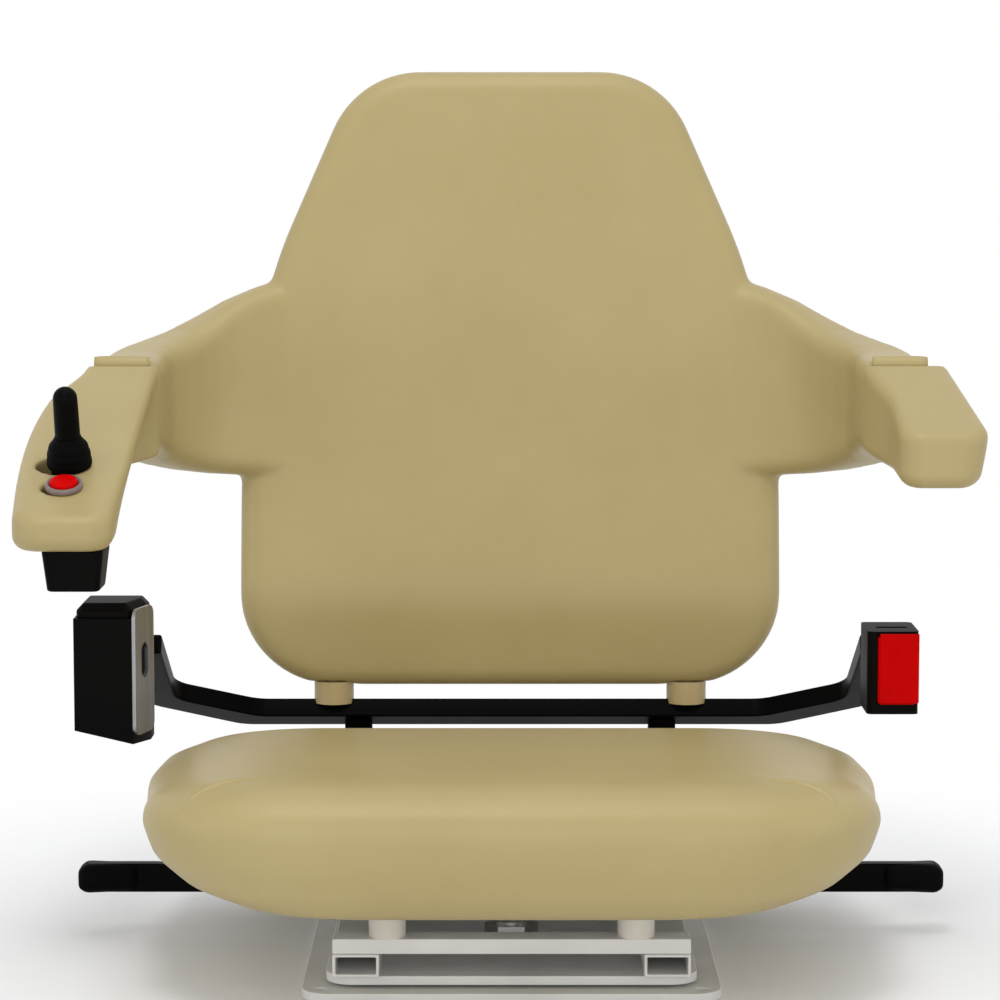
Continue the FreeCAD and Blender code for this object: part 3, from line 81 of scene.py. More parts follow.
def shade(red, green, blue):
    """A screen colour, 0 to 255, as linear red, green, blue and full alpha."""
    values = []
    for value in (red, green, blue):
        part = value / 255.0
        values.append(part / 12.92 if part <= 0.04045 else ((part + 0.055) / 1.055) ** 2.4)
    return (values[0], values[1], values[2], 1.0)


foam_light = shade(180, 163, 114)
foam_deep = shade(174, 156, 107)
print("foam colour:", [round(v, 3) for v in foam_light])

# %% [markdown]
# A finish is a Principled shader whose colour, roughness and fine relief vary over the surface.
# The noise is read from Object coordinates, which are metres here, so a scale of 700 gives
# a grain of about a millimetre and a half. The relief is a Bump node with a small distance.

# %% A finish from noise


def new_finish(name):
    """A new material: the material, its node tree, its shader and its coordinates."""
    made = bpy.data.materials.new(name)
    made.use_nodes = True
    tree = made.node_tree
    shader = tree.nodes["Principled BSDF"]
    place = tree.nodes.new("ShaderNodeTexCoord")
    return made, tree, shader, place


def noise_field(tree, source, scale, detail, rough=0.5):
    """A noise texture that reads the given coordinates."""
    field = tree.nodes.new("ShaderNodeTexNoise")
    field.inputs["Scale"].default_value = scale
    field.inputs["Detail"].default_value = detail
    field.inputs["Roughness"].default_value = rough
    tree.links.new(source, field.inputs["Vector"])
    return field


def stretched(tree, place, stretch):
    """Object coordinates that run faster along one axis than along another."""
    mapped = tree.nodes.new("ShaderNodeMapping")
    mapped.inputs["Scale"].default_value = stretch
    tree.links.new(place.outputs["Object"], mapped.inputs["Vector"])
    return mapped.outputs["Vector"]


def colour_by(tree, shader, source, low, high, first, second):
    """Gives the shader a colour that goes from one to another with a grey value."""
    ramp = tree.nodes.new("ShaderNodeValToRGB")
    ramp.color_ramp.elements[0].position = low
    ramp.color_ramp.elements[0].color = first
    ramp.color_ramp.elements[1].position = high
    ramp.color_ramp.elements[1].color = second
    tree.links.new(source, ramp.inputs["Fac"])
    tree.links.new(ramp.outputs["Color"], shader.inputs["Base Color"])


def roughness_by(tree, shader, source, low, high):
    """Gives the shader a roughness that lies between two values with a grey value."""
    mapped = tree.nodes.new("ShaderNodeMapRange")
    mapped.inputs["To Min"].default_value = low
    mapped.inputs["To Max"].default_value = high
    tree.links.new(source, mapped.inputs["Value"])
    tree.links.new(mapped.outputs["Result"], shader.inputs["Roughness"])


def relief(tree, shader, source, strength, depth, before=None):
    """Raises a grey value as fine relief, on top of an earlier relief if there is one."""
    bump = tree.nodes.new("ShaderNodeBump")
    bump.inputs["Strength"].default_value = strength
    bump.inputs["Distance"].default_value = depth
    tree.links.new(source, bump.inputs["Height"])
    if before is not None:
        tree.links.new(before.outputs["Normal"], bump.inputs["Normal"])
    tree.links.new(bump.outputs["Normal"], shader.inputs["Normal"])
    return bump


print("finish helpers ready")

# %% [markdown]
# The foam skin is a beige polyurethane with a pebbled grain like fine leather: shallow cells
# about a millimetre across, with fine pores over them and a broad soft mottling of the colour.
# A Voronoi field gives the cells, noise gives the pores, and the shine is low and even.

# %% Foam skin


def foam_skin(name, light, deep, gloss):
    """Skinned foam with shallow cells and pores."""
    made, tree, shader, place = new_finish(name)
    spot = place.outputs["Object"]
    mottle = noise_field(tree, spot, 9.0, 4.0, 0.6)
    colour_by(tree, shader, mottle.outputs["Fac"], 0.3, 0.7, deep, light)
    cells = tree.nodes.new("ShaderNodeTexVoronoi")
    cells.feature = "F1"
    cells.inputs["Scale"].default_value = 760.0
    tree.links.new(spot, cells.inputs["Vector"])
    first = relief(tree, shader, cells.outputs["Distance"], 0.16, 0.00025)
    pores = noise_field(tree, spot, 1700.0, 2.0)
    relief(tree, shader, pores.outputs["Fac"], 0.08, 0.00015, first)
    roughness_by(tree, shader, mottle.outputs["Fac"], gloss - 0.03, gloss + 0.04)
    shader.inputs["Specular IOR Level"].default_value = 0.28
    return made


skin = foam_skin("foam skin", foam_light, foam_deep, 0.40)
print("made", skin.name)

# %% [markdown]
# Black parts come in three finishes: satin paint on the bent steel bar and levers, a fine
# spark-eroded texture on the moulded cases, and dull rubber on the boot and the lever grips.
# They share one helper with the pale paint, the posts' paint, the nylon and the button's ring.
# It takes the grain size, the relief, the roughness and the shine.

# %% Plain finishes


def grained(name, base, other, grain, strength, depth, rough, shine=0.5):
    """A finish with a fine even grain and faint patches."""
    made, tree, shader, place = new_finish(name)
    spot = place.outputs["Object"]
    field = noise_field(tree, spot, grain, 3.0, 0.6)
    patches = noise_field(tree, spot, 14.0, 3.0)
    colour_by(tree, shader, patches.outputs["Fac"], 0.35, 0.65, base, other)
    relief(tree, shader, field.outputs["Fac"], strength, depth)
    roughness_by(tree, shader, patches.outputs["Fac"], rough - 0.06, rough + 0.06)
    shader.inputs["Specular IOR Level"].default_value = shine
    return made


black_paint = grained("black paint", shade(3, 3, 3), shade(6, 5, 5), 900.0, 0.12, 0.0001, 0.38, 0.03)
black_case = grained("black case", shade(5, 4, 4), shade(9, 8, 7), 1600.0, 0.3, 0.0001, 0.46, 0.035)
black_rubber = grained("black rubber", shade(4, 4, 4), shade(8, 7, 7), 700.0, 0.2, 0.0001, 0.6, 0.035)
pale_paint = grained("pale paint", shade(226, 225, 221), shade(216, 215, 211), 700.0, 0.12, 0.0001, 0.4)
post_paint = grained("post paint", shade(190, 169, 122), shade(182, 161, 114), 800.0, 0.12, 0.0001, 0.42)
white_nylon = grained("white nylon", shade(220, 216, 205), shade(208, 203, 190), 500.0, 0.1, 0.0001, 0.4)
ring_case = grained("ring case", shade(128, 112, 106), shade(100, 86, 82), 1200.0, 0.2, 0.0001, 0.4)
print("plain finishes:", black_paint.name, black_case.name, black_rubber.name, pale_paint.name)

# %% [markdown]
# Bright steel shows fine lines from rolling or turning, and a noise stretched along one axis
# gives them. The two press faces are moulded red plastic, deep in colour and nearly without
# shine. The back's board is raw plywood, whose grain is a noise stretched upwards.

# %% Steel, red plastic and board


def lined_steel(name, base, stretch, rough):
    """Bare steel with fine lines across the stretched axis."""
    made, tree, shader, place = new_finish(name)
    lines = noise_field(tree, stretched(tree, place, stretch), 260.0, 4.0)
    darker = (base[0] * 0.78, base[1] * 0.78, base[2] * 0.78, 1.0)
    colour_by(tree, shader, lines.outputs["Fac"], 0.35, 0.65, darker, base)
    roughness_by(tree, shader, lines.outputs["Fac"], rough - 0.05, rough + 0.1)
    relief(tree, shader, lines.outputs["Fac"], 0.1, 0.00005)
    shader.inputs["Metallic"].default_value = 1.0
    return made


def red_plastic(name, base, other):
    """Moulded red plastic with a barely uneven face."""
    made, tree, shader, place = new_finish(name)
    spot = place.outputs["Object"]
    patches = noise_field(tree, spot, 40.0, 2.0)
    colour_by(tree, shader, patches.outputs["Fac"], 0.35, 0.65, base, other)
    fine = noise_field(tree, spot, 900.0, 2.0)
    relief(tree, shader, fine.outputs["Fac"], 0.06, 0.00005)
    roughness_by(tree, shader, patches.outputs["Fac"], 0.34, 0.44)
    shader.inputs["Specular IOR Level"].default_value = 0.02
    return made


def plywood(name):
    """Raw plywood with an upright grain."""
    made, tree, shader, place = new_finish(name)
    grain = noise_field(tree, stretched(tree, place, (22.0, 22.0, 1.6)), 6.0, 6.0)
    colour_by(tree, shader, grain.outputs["Fac"], 0.3, 0.7, shade(168, 128, 82), shade(206, 172, 122))
    relief(tree, shader, grain.outputs["Fac"], 0.15, 0.0002)
    shader.inputs["Roughness"].default_value = 0.7
    return made


steel = lined_steel("turned steel", shade(190, 188, 184), (1.0, 1.0, 12.0), 0.3)
plate_steel = lined_steel("plate steel", shade(158, 158, 160), (1.0, 1.0, 0.06), 0.4)
buckle_red = red_plastic("buckle red", shade(200, 2, 3), shade(192, 1, 2))
stop_red = red_plastic("stop red", shade(208, 5, 6), shade(198, 3, 4))
board_wood = plywood("board wood")
print("finishes:", steel.name, plate_steel.name, buckle_red.name, stop_red.name, board_wood.name)

# %% [markdown]
# Every rigid piece keeps its own shape from the frame and only changes finish.
# A list of pieces for each finish keeps that readable, pieces that come in twos are named
# once, and the print at the end shows whether a piece was forgotten.

# %% Finishes for the rigid pieces
sides = ("_left", "_right")
dressed = set()


def both(*names):
    """The left and the right piece of each name."""
    return [name + side for name in names for side in sides]


def dress(finish, *names):
    """Gives each named piece one finish."""
    for name in names:
        mesh = nodes[name].data
        mesh.materials.clear()
        mesh.materials.append(finish)
        dressed.add(name)


dress(pale_paint, "base_plate", "swivel_plate", "front_cross_member", "rear_cross_member", "seat_pan")
dress(pale_paint, *both("frame_rail", "seat_hinge_bracket", "lever_bracket"))
dress(black_paint, "crossbar", *both("bar_upright", "swivel_lever", "wing_bracket", "arm_core"))
dress(steel, "swivel_spindle", "spindle_nut", "latch_pin", "toggle_pin")
dress(steel, *both("seat_hinge_pin", "arm_hinge_pin", "lever_pin"))
dress(plate_steel, "latch_plate")
dress(black_case, "retractor_housing", "retractor_cap", "buckle_body", "control_box", "toggle_lever")
dress(black_case, "toggle_switch", "stop_contact", "belt_spool", "back_cover", *both("lever_grip"))
dress(black_rubber, "toggle_boot")
dress(white_nylon, "thrust_washer", "latch_guide", *both("seat_bumper"))
dress(post_paint, *both("back_post"))
dress(board_wood, "back_board")
dress(buckle_red, "buckle_button")
dress(stop_red, "stop_button")
dress(ring_case, "stop_ring")
print("dressed:", len(dressed), "still to rebuild:", [name for name in nodes if name not in dressed])

# %% [markdown]
# A new piece is an object at the origin with its place in its mesh. Five helpers serve them:
# one makes the object, one gives it its finish, one hands over a closed shape with its faces
# turned outwards, one skins a row of rings, and one makes a modifier's result the mesh itself.

# %% Making a piece


def new_thing(name, mesh=None):
    """A linked object with the given mesh, or with an empty one."""
    if mesh is None:
        mesh = bpy.data.meshes.new(name)
    thing = bpy.data.objects.new(name, mesh)
    bpy.context.scene.collection.objects.link(thing)
    return thing


def refinished(thing, finish):
    """Gives a piece one finish and smooth shading."""
    thing.data.materials.clear()
    thing.data.materials.append(finish)
    for face in thing.data.polygons:
        face.use_smooth = True
    return thing


def closed(thing, shape, finish):
    """Turns the faces of a closed shape outwards and makes it the mesh of a piece."""
    bmesh.ops.recalc_face_normals(shape, faces=shape.faces)
    shape.to_mesh(thing.data)
    shape.free()
    return refinished(thing, finish)


def skinned(shape, rings):
    """Joins a row of rings with faces and closes both ends."""
    count = len(rings[0])
    for first, second in zip(rings, rings[1:]):
        for k in range(count):
            shape.faces.new((first[k], first[(k + 1) % count], second[(k + 1) % count], second[k]))
    shape.faces.new(rings[0])
    shape.faces.new(rings[-1])


def applied(thing, name, kind, **settings):
    """Adds one modifier, makes its result the mesh, and drops the modifier."""
    modifier = thing.modifiers.new(name, kind)
    for key, value in settings.items():
        setattr(modifier, key, value)
    graph = bpy.context.evaluated_depsgraph_get()
    made = bpy.data.meshes.new_from_object(thing.evaluated_get(graph))
    thing.modifiers.clear()
    old = thing.data
    thing.data = made
    bpy.data.meshes.remove(old)


same_point = 0.00001
print("piece helpers ready")

# %% [markdown]
# A foam piece starts from a copy of its solid. The copy's points are merged, a voxel remesh
# turns it into small even squares, and smoothing then softens every edge a little, as foam
# fills a mould. The remesh comes first because smoothing needs squares of one size.
# The arms get smaller cells than the back and the cushion, because their edges are tighter
# and the hinge seam has to stay crisp.

# %% Foam pieces


def foam_copy(node, name, cell, rounds):
    """A fine, smoothed copy of a foam solid."""
    thing = new_thing(name, nodes[node].data.copy())
    shape = bmesh.new()
    shape.from_mesh(thing.data)
    bmesh.ops.remove_doubles(shape, verts=shape.verts, dist=same_point)
    shape.to_mesh(thing.data)
    shape.free()
    applied(thing, "cells", "REMESH", mode="VOXEL", voxel_size=cell)
    applied(thing, "soften", "SMOOTH", factor=0.5, iterations=rounds)
    return refinished(thing, skin)


back = foam_copy("back_moulding", "back_foam", 0.0028, 10)
cushion = foam_copy("seat_cushion", "seat_foam", 0.0034, 24)
arm_left = foam_copy("arm_pad_left", "arm_foam_left", 0.0014, 8)
arm_right = foam_copy("arm_pad_right", "arm_foam_right", 0.0014, 3)
for piece in (back, cushion, arm_left, arm_right):
    print(piece.name, len(piece.data.polygons), "faces")

# %% [markdown]
# The moulded arms and the cushion are fuller than their solids. The left arm's outer edge bows
# outwards and its inner side leans in below, the right arm slants outwards from its seam, and
# the cushion's shoulders are rounder behind than in front. Each move shifts points by a smooth
# amount that is worked out from their place, so the surface stays even.

# %% Helpers for a fuller form
seam_y = 0.0704
arm_top = 0.400
arm_fall = math.radians(22.0)
skin_start = 0.396
arm_depth = 0.045
arm_inner = 0.2437
arm_width = 0.0437


def moved(thing, shift):
    """Shifts every point of a piece sideways by an amount worked out from its place."""
    for vert in thing.data.vertices:
        vert.co.x += shift(vert.co)
    thing.data.update()


def share_of(value):
    """A value kept between none and all."""
    return max(0.0, min(1.0, value))


def held(value):
    """A value kept between none and all, with a soft start and a soft end."""
    share = share_of(value)
    return share * share * (3.0 - 2.0 * share)


def depth_below(spot):
    """How far a point lies under the arm's sloping top, as a share of the arm's thickness."""
    return held((skin_start - (seam_y - spot.y) * math.tan(arm_fall) - spot.z) / arm_depth)


print("helpers for a fuller form ready")

# %% [markdown]
# The left arm is as narrow as its hinge at the seam. Its outer edge swings out by about
# 17 millimetres a third of the way along and comes back at the front. Underneath, its inner
# side is drawn in, most of all near the seam. The drift and the growth say how the solid's
# inner edge and width change along it, so that a point's place across the arm is known.

# %% The left arm's bow
left_length = 0.216
left_drift = 0.010
left_growth = 0.0165
bow_reach = 0.0166
bow_skew = 0.75
lean_reach = 0.0225


def bow_left(spot):
    """The sideways move of a point of the left arm."""
    along = share_of((seam_y - spot.y) / left_length)
    outer = share_of((-arm_inner - left_drift * along - spot.x) / (arm_width + left_growth * along))
    bow = bow_reach * math.sin(math.pi * along ** bow_skew) * held(along / 0.25)
    lean = lean_reach * (1.0 - along) * held(along / 0.15) * depth_below(spot)
    return -bow * outer - lean * (1.0 - outer) ** 1.5


moved(arm_left, bow_left)
print("left arm reaches", round(min(vert.co.x for vert in arm_left.data.vertices), 4))

# %% [markdown]
# The right arm is half as long. Its inner edge slants outwards over the first half and then
# runs straight, and its outer face stands out at the seam and leans in towards the bottom
# at the front.

# %% The right arm's slant
right_length = 0.108
right_drift = 0.005
right_growth = 0.0085
slant_reach = 0.011
seam_stand = 0.0075
front_stand = 0.0085
bottom_lean = 0.0065


def slant_right(spot):
    """The sideways move of a point of the right arm."""
    along = share_of((seam_y - spot.y) / right_length)
    outer = share_of((spot.x - arm_inner - right_drift * along) / (arm_width + right_growth * along))
    inner_move = slant_reach * held(along / 0.55)
    at_seam = seam_stand * (1.0 - along) * held(along / 0.08)
    at_front = along * (front_stand - bottom_lean * depth_below(spot))
    return inner_move * (1.0 - outer) + (at_seam + at_front) * outer


moved(arm_right, slant_right)
print("right arm reaches", round(max(vert.co.x for vert in arm_right.data.vertices), 4))

# %% [markdown]
# The cushion's shoulders swell by a centimetre between the underside's edge and the top. The
# swelling is full in the middle of each side, and it fades in front, where the roll is already
# round, and behind, where the cushion has to pass the crossbar as it folds.

# %% The cushion's shoulders
shoulder_reach = 0.010
shoulder_low = 0.108
shoulder_tall = 0.036
swell_from = 0.120
swell_over = 0.110
front_y = -0.110
front_fade = 0.120
rear_y = 0.060
rear_fade = 0.060


def full_shoulder(spot):
    """The sideways move of a point of the cushion."""
    outwards = held((abs(spot.x) - swell_from) / swell_over)
    height = share_of((spot.z - shoulder_low) / shoulder_tall)
    midway = held((spot.y - front_y) / front_fade) * (1.0 - held((spot.y - rear_y) / rear_fade))
    return math.copysign(shoulder_reach * outwards * midway * math.sin(math.pi * height), spot.x)


moved(cushion, full_shoulder)
print("cushion reaches", round(max(vert.co.x for vert in cushion.data.vertices), 4))

# %% [markdown]
# Each foam piece rides on its own body and stands for its solid, which is hidden.

# %% Riding and replacing
for piece, node, part in ((back, "back_moulding", "chair"), (cushion, "seat_cushion", "seat"),
                          (arm_left, "arm_pad_left", "arm_left"), (arm_right, "arm_pad_right", "arm_right")):
    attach(piece, part)
    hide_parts(node)
print("foam pieces ride on their bodies")

# %% [markdown]
# Near its front corners the cushion's skin is gathered in a small curved crease on each side.
# A crease is a thin ridge that fades out at both ends. Its points are given in plan, a smooth
# curve joins them, and a ray dropped from above finds the height of the cushion under each step.

# %% Creases of the cushion
crease_size = 0.0026
crease_thin = 0.12
crease_sunk = 0.35
crease_flat = 1.6
crease_steps = 40
crease_turns = 10
above_seat = 0.5
downwards = Vector((0.0, 0.0, -1.0))


def smooth_row(points, count):
    """Even steps along a smooth curve through a few points in plan."""
    row = []
    last = len(points) - 1
    for step in range(count + 1):
        place = last * step / count
        index = min(int(place), last - 1)
        part = place - index
        near = [Vector(points[max(0, min(last, index + k))]) for k in (-1, 0, 1, 2)]
        weights = (0.5 * (-part ** 3 + 2 * part ** 2 - part), 0.5 * (3 * part ** 3 - 5 * part ** 2 + 2),
                   0.5 * (-3 * part ** 3 + 4 * part ** 2 + part), 0.5 * (part ** 3 - part ** 2))
        row.append(sum((point * weight for point, weight in zip(near, weights)), Vector((0.0, 0.0))))
    return row


def crease(name, ground, points):
    """A ridge half sunk in the skin along points in plan, thin at both ends."""
    tree = BVHTree.FromObject(ground, bpy.context.evaluated_depsgraph_get())
    path = []
    for spot in smooth_row(points, crease_steps):
        found = tree.ray_cast(Vector((spot.x, spot.y, above_seat)), downwards)
        path.append((found[0], found[1]))
    shape = bmesh.new()
    rings = []
    for index, (spot, normal) in enumerate(path):
        ahead = path[min(index + 1, crease_steps)][0] - path[max(index - 1, 0)][0]
        across = ahead.cross(normal).normalized()
        wide = crease_size * (crease_thin + (1.0 - crease_thin) * math.sin(math.pi * index / crease_steps))
        centre = spot - normal * wide * crease_sunk
        ring = []
        for k in range(crease_turns):
            turn = math.tau * k / crease_turns
            ring.append(shape.verts.new(centre + across * crease_flat * wide * math.cos(turn)
                                        + normal * wide * math.sin(turn)))
        rings.append(ring)
    skinned(shape, rings)
    thing = closed(new_thing(name), shape, skin)
    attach(thing, "seat")
    return thing


crease_left = crease("crease_left", cushion,
                     [(-0.2050, -0.170), (-0.191, -0.158), (-0.173, -0.148), (-0.150, -0.139)])
crease_right = crease("crease_right", cushion,
                      [(0.2010, -0.171), (0.193, -0.160), (0.176, -0.151), (0.146, -0.142)])
print("creases:", len(crease_left.data.polygons), len(crease_right.data.polygons))

# %% [markdown]
# Each arm turns on a pin at the wing's top. A lip of the arm's own skin wraps over the hinge,
# so that only a fine seam shows from the front. It is part of a tube about the pin, thinner
# towards both ends, and it turns with the arm inside the hollow at the wing's end.

# %% Hinge lips
hinge_z = 0.3960
hinge_x = 0.266
lip_inner = 0.0054
lip_outer = 0.0063
lip_half = 0.0190
lip_edge = 0.0002
lip_taper = 0.0035
lip_low = math.radians(-25.0)
lip_high = math.radians(70.0)
lip_steps = 22


def hinge_lip(name, across, part):
    """Part of a tube about an arm's hinge line."""
    section = ((lip_inner, -lip_half), (lip_inner + lip_edge, -lip_half),
               (lip_outer - lip_edge, -lip_half + lip_taper), (lip_outer, -lip_half + 2 * lip_taper),
               (lip_outer, lip_half - 2 * lip_taper), (lip_outer - lip_edge, lip_half - lip_taper),
               (lip_inner + lip_edge, lip_half), (lip_inner, lip_half))
    shape = bmesh.new()
    rows = []
    for step in range(lip_steps + 1):
        angle = lip_low + (lip_high - lip_low) * step / lip_steps
        rows.append([shape.verts.new((across + side, seam_y - radius * math.cos(angle),
                                      hinge_z + radius * math.sin(angle))) for radius, side in section])
    skinned(shape, rows)
    thing = closed(new_thing(name), shape, skin)
    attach(thing, part)


hinge_lip("lip_left", -hinge_x, "arm_left")
hinge_lip("lip_right", hinge_x, "arm_right")
print("hinge lips made")

# %% [markdown]
# Moulded cases and cut steel have no knife edges. A copy of each such solid gets a small bevel
# on every sharp edge, and its shading is weighted so that the flat faces stay flat.

# %% Eased edges
case_edge = 0.0012
plate_edge = 0.0006
member_edge = 0.0008


def weighted(thing):
    """Smooth shading that keeps flat faces flat."""
    for face in thing.data.polygons:
        face.use_smooth = True
    applied(thing, "weigh", "WEIGHTED_NORMAL", keep_sharp=True, weight=80)


def eased(node, part, finish, width):
    """A copy of a rigid solid with a small bevel on its sharp edges."""
    thing = new_thing(node + "_eased", nodes[node].data.copy())
    shape = bmesh.new()
    shape.from_mesh(thing.data)
    bmesh.ops.remove_doubles(shape, verts=shape.verts, dist=same_point)
    bmesh.ops.dissolve_limit(shape, angle_limit=math.radians(1.0), verts=shape.verts, edges=shape.edges)
    shape.to_mesh(thing.data)
    shape.free()
    applied(thing, "bevel", "BEVEL", width=width, segments=2, limit_method="ANGLE",
            angle_limit=math.radians(35.0), profile=0.5, use_clamp_overlap=True)
    weighted(thing)
    thing.data.materials.clear()
    thing.data.materials.append(finish)
    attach(thing, part)
    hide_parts(node)
    return thing


edged = []
for node, part, finish, width in (
        ("retractor_housing", "chair", black_case, 0.0011), ("retractor_cap", "chair", black_case, 0.0009),
        ("buckle_body", "chair", black_case, case_edge), ("control_box", "arm_left", black_case, case_edge),
        ("front_cross_member", "chair", pale_paint, member_edge),
        ("rear_cross_member", "chair", pale_paint, member_edge),
        ("base_plate", "base", pale_paint, plate_edge), ("swivel_plate", "chair", pale_paint, plate_edge),
        ("crossbar", "chair", black_paint, 0.0016), ("spindle_nut", "base", steel, member_edge)):
    edged.append(eased(node, part, finish, width))
for side in sides:
    edged.append(eased("frame_rail" + side, "chair", pale_paint, member_edge))
    edged.append(eased("bar_upright" + side, "chair", black_paint, 0.0010))
print("eased:", [(piece.name, len(piece.data.polygons)) for piece in edged])

# %% [markdown]
# The lever grips are soft paddles. They start from their solid, like the foam pieces, but with
# much smaller squares. More smoothing rounds their ends, and they are pressed a little flatter.

# %% Lever grips
grip_middle = 0.0413
grip_flattened = 0.80
for side in sides:
    grip = foam_copy("lever_grip" + side, "paddle" + side, 0.0011, 24)
    for vert in grip.data.vertices:
        vert.co.z = grip_middle + (vert.co.z - grip_middle) * grip_flattened
    refinished(grip, black_rubber)
    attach(grip, "lever" + side)
    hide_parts("lever_grip" + side)
    print(grip.name, len(grip.data.polygons), "faces")

# %% [markdown]
# The buckle's press face covers the front of the buckle. Its thin rim stands clear of the body
# by more than the travel, so the face can sink without touching it. It is a cube stretched
# between two corners, and a bevel rolls its edges.

# %% Press face of the buckle
rim_low = (0.2510, 0.0316, 0.1675)
rim_high = (0.2776, 0.0330, 0.2150)
rim_roll = 0.0005


def block(name, finish, low, high, roll):
    """A box between two corners with rolled edges."""
    shape = bmesh.new()
    bmesh.ops.create_cube(shape, size=1.0)
    for vert in shape.verts:
        vert.co = Vector([low[k] + (high[k] - low[k]) * (vert.co[k] + 0.5) for k in range(3)])
    bmesh.ops.bevel(shape, geom=shape.edges[:], offset=roll, offset_type="OFFSET", segments=3,
                    profile=0.5, affect="EDGES", material=-1)
    thing = closed(new_thing(name), shape, finish)
    weighted(thing)
    return thing


press_rim = block("press_rim", buckle_red, rim_low, rim_high, rim_roll)
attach(press_rim, "buckle_press")
print("press face made")

# %% [markdown]
# The toggle, its boot, the button and its collar are round, so each is drawn as half a section
# and spun. The section is a row of points, radius first and height second. The seam is merged,
# the faces are turned outwards, and a matrix sets the piece down on its seat.

# %% Spinning a round piece
same_spun_point = 0.00002


def spun(name, finish, section, seat, steps=48):
    """A round piece from half a section, set down by a matrix."""
    shape = bmesh.new()
    row = [shape.verts.new((radius, 0.0, height)) for radius, height in section]
    for first, second in zip(row, row[1:]):
        shape.edges.new((first, second))
    bmesh.ops.spin(shape, geom=shape.verts[:] + shape.edges[:], axis=(0, 0, 1), cent=(0, 0, 0),
                   angle=math.tau, steps=steps, use_merge=True)
    bmesh.ops.remove_doubles(shape, verts=shape.verts, dist=same_spun_point)
    bmesh.ops.transform(shape, matrix=seat, verts=shape.verts)
    return closed(new_thing(name), shape, finish)


print("spinning helper ready")

# %% [markdown]
# The left arm's top falls 22 degrees towards the front, and the toggle and the stop button stand
# square to it. One matrix carries a piece from flat on the ground to its place on that slope.

# %% The slope of the arm
control_x = -0.284
toggle_run = 0.159
stop_run = 0.190


def on_arm(run, height=0.0):
    """A seat on the left arm's top, so far in front of the seam."""
    spot = Vector((control_x, seam_y - run * math.cos(arm_fall), arm_top - run * math.sin(arm_fall)))
    up = Vector((0.0, -math.sin(arm_fall), math.cos(arm_fall)))
    return Matrix.Translation(spot + up * height) @ Matrix.Rotation(arm_fall, 4, "X")


print("toggle stands at", tuple(round(v, 4) for v in on_arm(toggle_run).translation))

# %% [markdown]
# The toggle is a slim grip with a domed end, and a rubber bell hides its stem and keeps
# water out of the switch. The bell sits between the arm below and the grip above, and has
# two shallow folds.

# %% Toggle and its boot
dome_radius = 0.0078
dome_height = 0.0478
dome_steps = 8
grip_section = [(0.0, 0.0185), (0.0072, 0.0185), (0.0079, 0.0195), (0.0081, 0.0225), (0.0080, 0.036),
                (0.0078, 0.047)]
for step in range(1, dome_steps + 1):
    angle = math.radians(90.0 * step / dome_steps)
    grip_section.append((dome_radius * math.cos(angle), dome_height + dome_radius * math.sin(angle)))
bell_section = [(0.0128, 0.0003), (0.0141, 0.0006), (0.0146, 0.0022), (0.0144, 0.0048), (0.0139, 0.0066),
                (0.0141, 0.0078), (0.0138, 0.0100), (0.0129, 0.0118), (0.0130, 0.0129), (0.0124, 0.0148),
                (0.0107, 0.0170), (0.0093, 0.0188), (0.0086, 0.0204), (0.0083, 0.0214), (0.0078, 0.0212),
                (0.0078, 0.0180), (0.0100, 0.0150), (0.0118, 0.0100), (0.0126, 0.0040)]
toggle = spun("toggle_grip", black_case, grip_section, on_arm(toggle_run))
bell = spun("toggle_bell", black_rubber, bell_section + [bell_section[0]], on_arm(toggle_run), 64)
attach(toggle, "toggle")
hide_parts("toggle_lever")
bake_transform(bell)
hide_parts("toggle_boot")
print("toggle and bell:", len(toggle.data.polygons), len(bell.data.polygons))

# %% [markdown]
# The stop button is a low red mushroom in a dark ring. Its top is very slightly domed, with
# a soft rim, so that a thumb finds it without looking.

# %% Stop button
press_section = [(0.0, -0.0048), (0.0086, -0.0048), (0.0089, -0.0044), (0.0089, 0.0042), (0.0086, 0.0052),
                 (0.0078, 0.0057), (0.0060, 0.0059), (0.0030, 0.0060), (0.0, 0.0060)]
collar_section = [(0.0092, 0.0002), (0.0118, 0.0002), (0.0121, 0.0009), (0.0120, 0.0026), (0.0114, 0.0037),
                  (0.0104, 0.0040), (0.0096, 0.0036), (0.0092, 0.0028)]
stop_face = spun("stop_face", stop_red, press_section, on_arm(stop_run))
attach(stop_face, "stop")
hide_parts("stop_button")
collar = spun("stop_collar", ring_case, collar_section + [collar_section[0]], on_arm(stop_run))
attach(collar, "arm_left")
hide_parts("stop_ring")
print("stop button and collar:", len(stop_face.data.polygons), len(collar.data.polygons))

# %% [markdown]
# The chair stands on a pale floor that keeps its shadow. Near the chair the floor is matt and
# solid, and further out it fades away, so that it passes into the white world without an edge.

# %% Floor
floor_reach = 6.0
floor_drop = 0.0006
fade_start = 0.15
fade_end = 0.75
floor = new_thing("floor")
sheet_of_floor = bmesh.new()
bmesh.ops.create_grid(sheet_of_floor, x_segments=2, y_segments=2, size=floor_reach)
bmesh.ops.translate(sheet_of_floor, vec=(0.0, 0.0, -floor_drop), verts=sheet_of_floor.verts)
sheet_of_floor.to_mesh(floor.data)
sheet_of_floor.free()
floor_paint, floor_tree, floor_shader, floor_place = new_finish("floor paint")
floor_shader.inputs["Base Color"].default_value = (0.97, 0.97, 0.97, 1.0)
floor_shader.inputs["Roughness"].default_value = 0.9
floor_shader.inputs["Specular IOR Level"].default_value = 0.1
away = floor_tree.nodes.new("ShaderNodeVectorMath")
away.operation = "LENGTH"
floor_tree.links.new(floor_place.outputs["Object"], away.inputs[0])
fading = floor_tree.nodes.new("ShaderNodeMapRange")
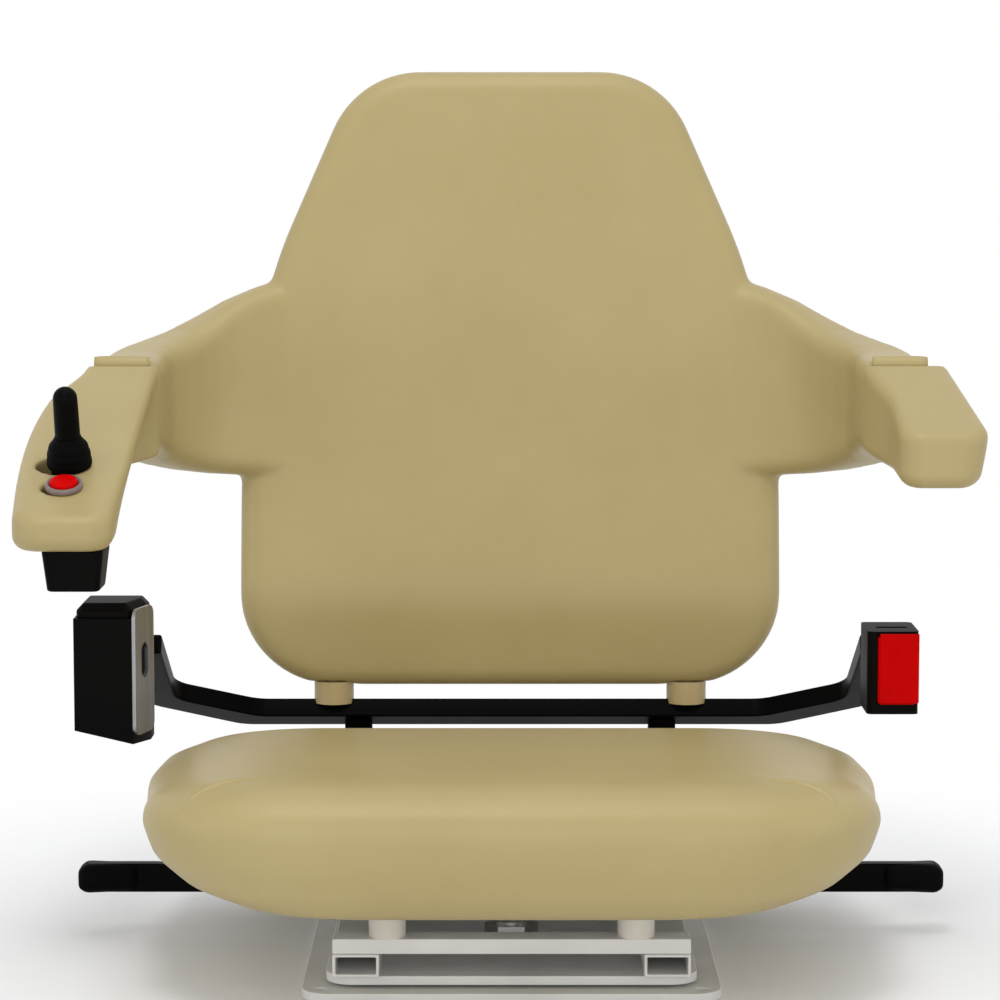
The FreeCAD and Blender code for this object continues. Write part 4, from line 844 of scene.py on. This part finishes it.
fading.interpolation_type = "SMOOTHSTEP"
fading.inputs["From Min"].default_value = fade_start
fading.inputs["From Max"].default_value = fade_end
floor_tree.links.new(away.outputs["Value"], fading.inputs["Value"])
nothing = floor_tree.nodes.new("ShaderNodeBsdfTransparent")
faded = floor_tree.nodes.new("ShaderNodeMixShader")
floor_tree.links.new(fading.outputs["Result"], faded.inputs["Fac"])
floor_tree.links.new(floor_shader.outputs["BSDF"], faded.inputs[1])
floor_tree.links.new(nothing.outputs["BSDF"], faded.inputs[2])
floor_tree.links.new(faded.outputs["Shader"], floor_tree.nodes["Material Output"].inputs["Surface"])
floor.data.materials.append(floor_paint)
print("floor laid")

# %% [markdown]
# The light is that of a plain studio: a small key lamp high in front, a wide one from each side
# and from the front, and a wide one above. Wide lamps give soft shadows, and their power is
# low enough that a colour renders about as it is written.

# %% Lamps
middle = Vector((0.0, 0.0, 0.3))


def soft_lamp(name, place, across, power):
    """A square area lamp turned towards the middle of the chair."""
    data = bpy.data.lights.new(name, "AREA")
    data.shape = "SQUARE"
    data.size = across
    data.energy = power
    thing = bpy.data.objects.new(name, data)
    bpy.context.scene.collection.objects.link(thing)
    thing.location = place
    thing.rotation_euler = (middle - Vector(place)).to_track_quat("-Z", "Y").to_euler()


soft_lamp("key", (-0.2, -1.3, 2.5), 0.6, 12.5)
soft_lamp("fill left", (-2.4, -1.2, 0.7), 1.6, 9.0)
soft_lamp("fill right", (2.4, -1.2, 0.7), 1.6, 9.0)
soft_lamp("front", (0.0, -2.9, 0.2), 1.8, 18.0)
soft_lamp("top", (0.0, -0.3, 2.7), 1.6, 13.5)
print("lamps set")

# %% [markdown]
# The world lights the chair evenly with a pale, slightly cool grey. The camera, and reflections
# and clear parts with it, see plain white instead, so the background is white without any
# more light on the chair.

# %% World
world = bpy.data.worlds.new("studio")
bpy.context.scene.world = world
world.use_nodes = True
sky = world.node_tree


def larger(first, second):
    """The larger of two grey values."""
    made = sky.nodes.new("ShaderNodeMath")
    made.operation = "MAXIMUM"
    sky.links.new(first, made.inputs[0])
    sky.links.new(second, made.inputs[1])
    return made.outputs["Value"]


lighting = sky.nodes["Background"]
lighting.inputs["Color"].default_value = (0.95, 0.97, 1.0, 1.0)
lighting.inputs["Strength"].default_value = 0.60
seen = sky.nodes.new("ShaderNodeBackground")
seen.inputs["Color"].default_value = (1.0, 1.0, 1.0, 1.0)
rays = sky.nodes.new("ShaderNodeLightPath").outputs
looking = larger(larger(rays["Is Camera Ray"], rays["Is Glossy Ray"]), rays["Is Transmission Ray"])
mixed = sky.nodes.new("ShaderNodeMixShader")
sky.links.new(looking, mixed.inputs["Fac"])
sky.links.new(lighting.outputs["Background"], mixed.inputs[1])
sky.links.new(seen.outputs["Background"], mixed.inputs[2])
sky.links.new(mixed.outputs["Shader"], sky.nodes["World Output"].inputs["Surface"])
bpy.context.scene.view_settings.view_transform = "Standard"
print("world and view set")
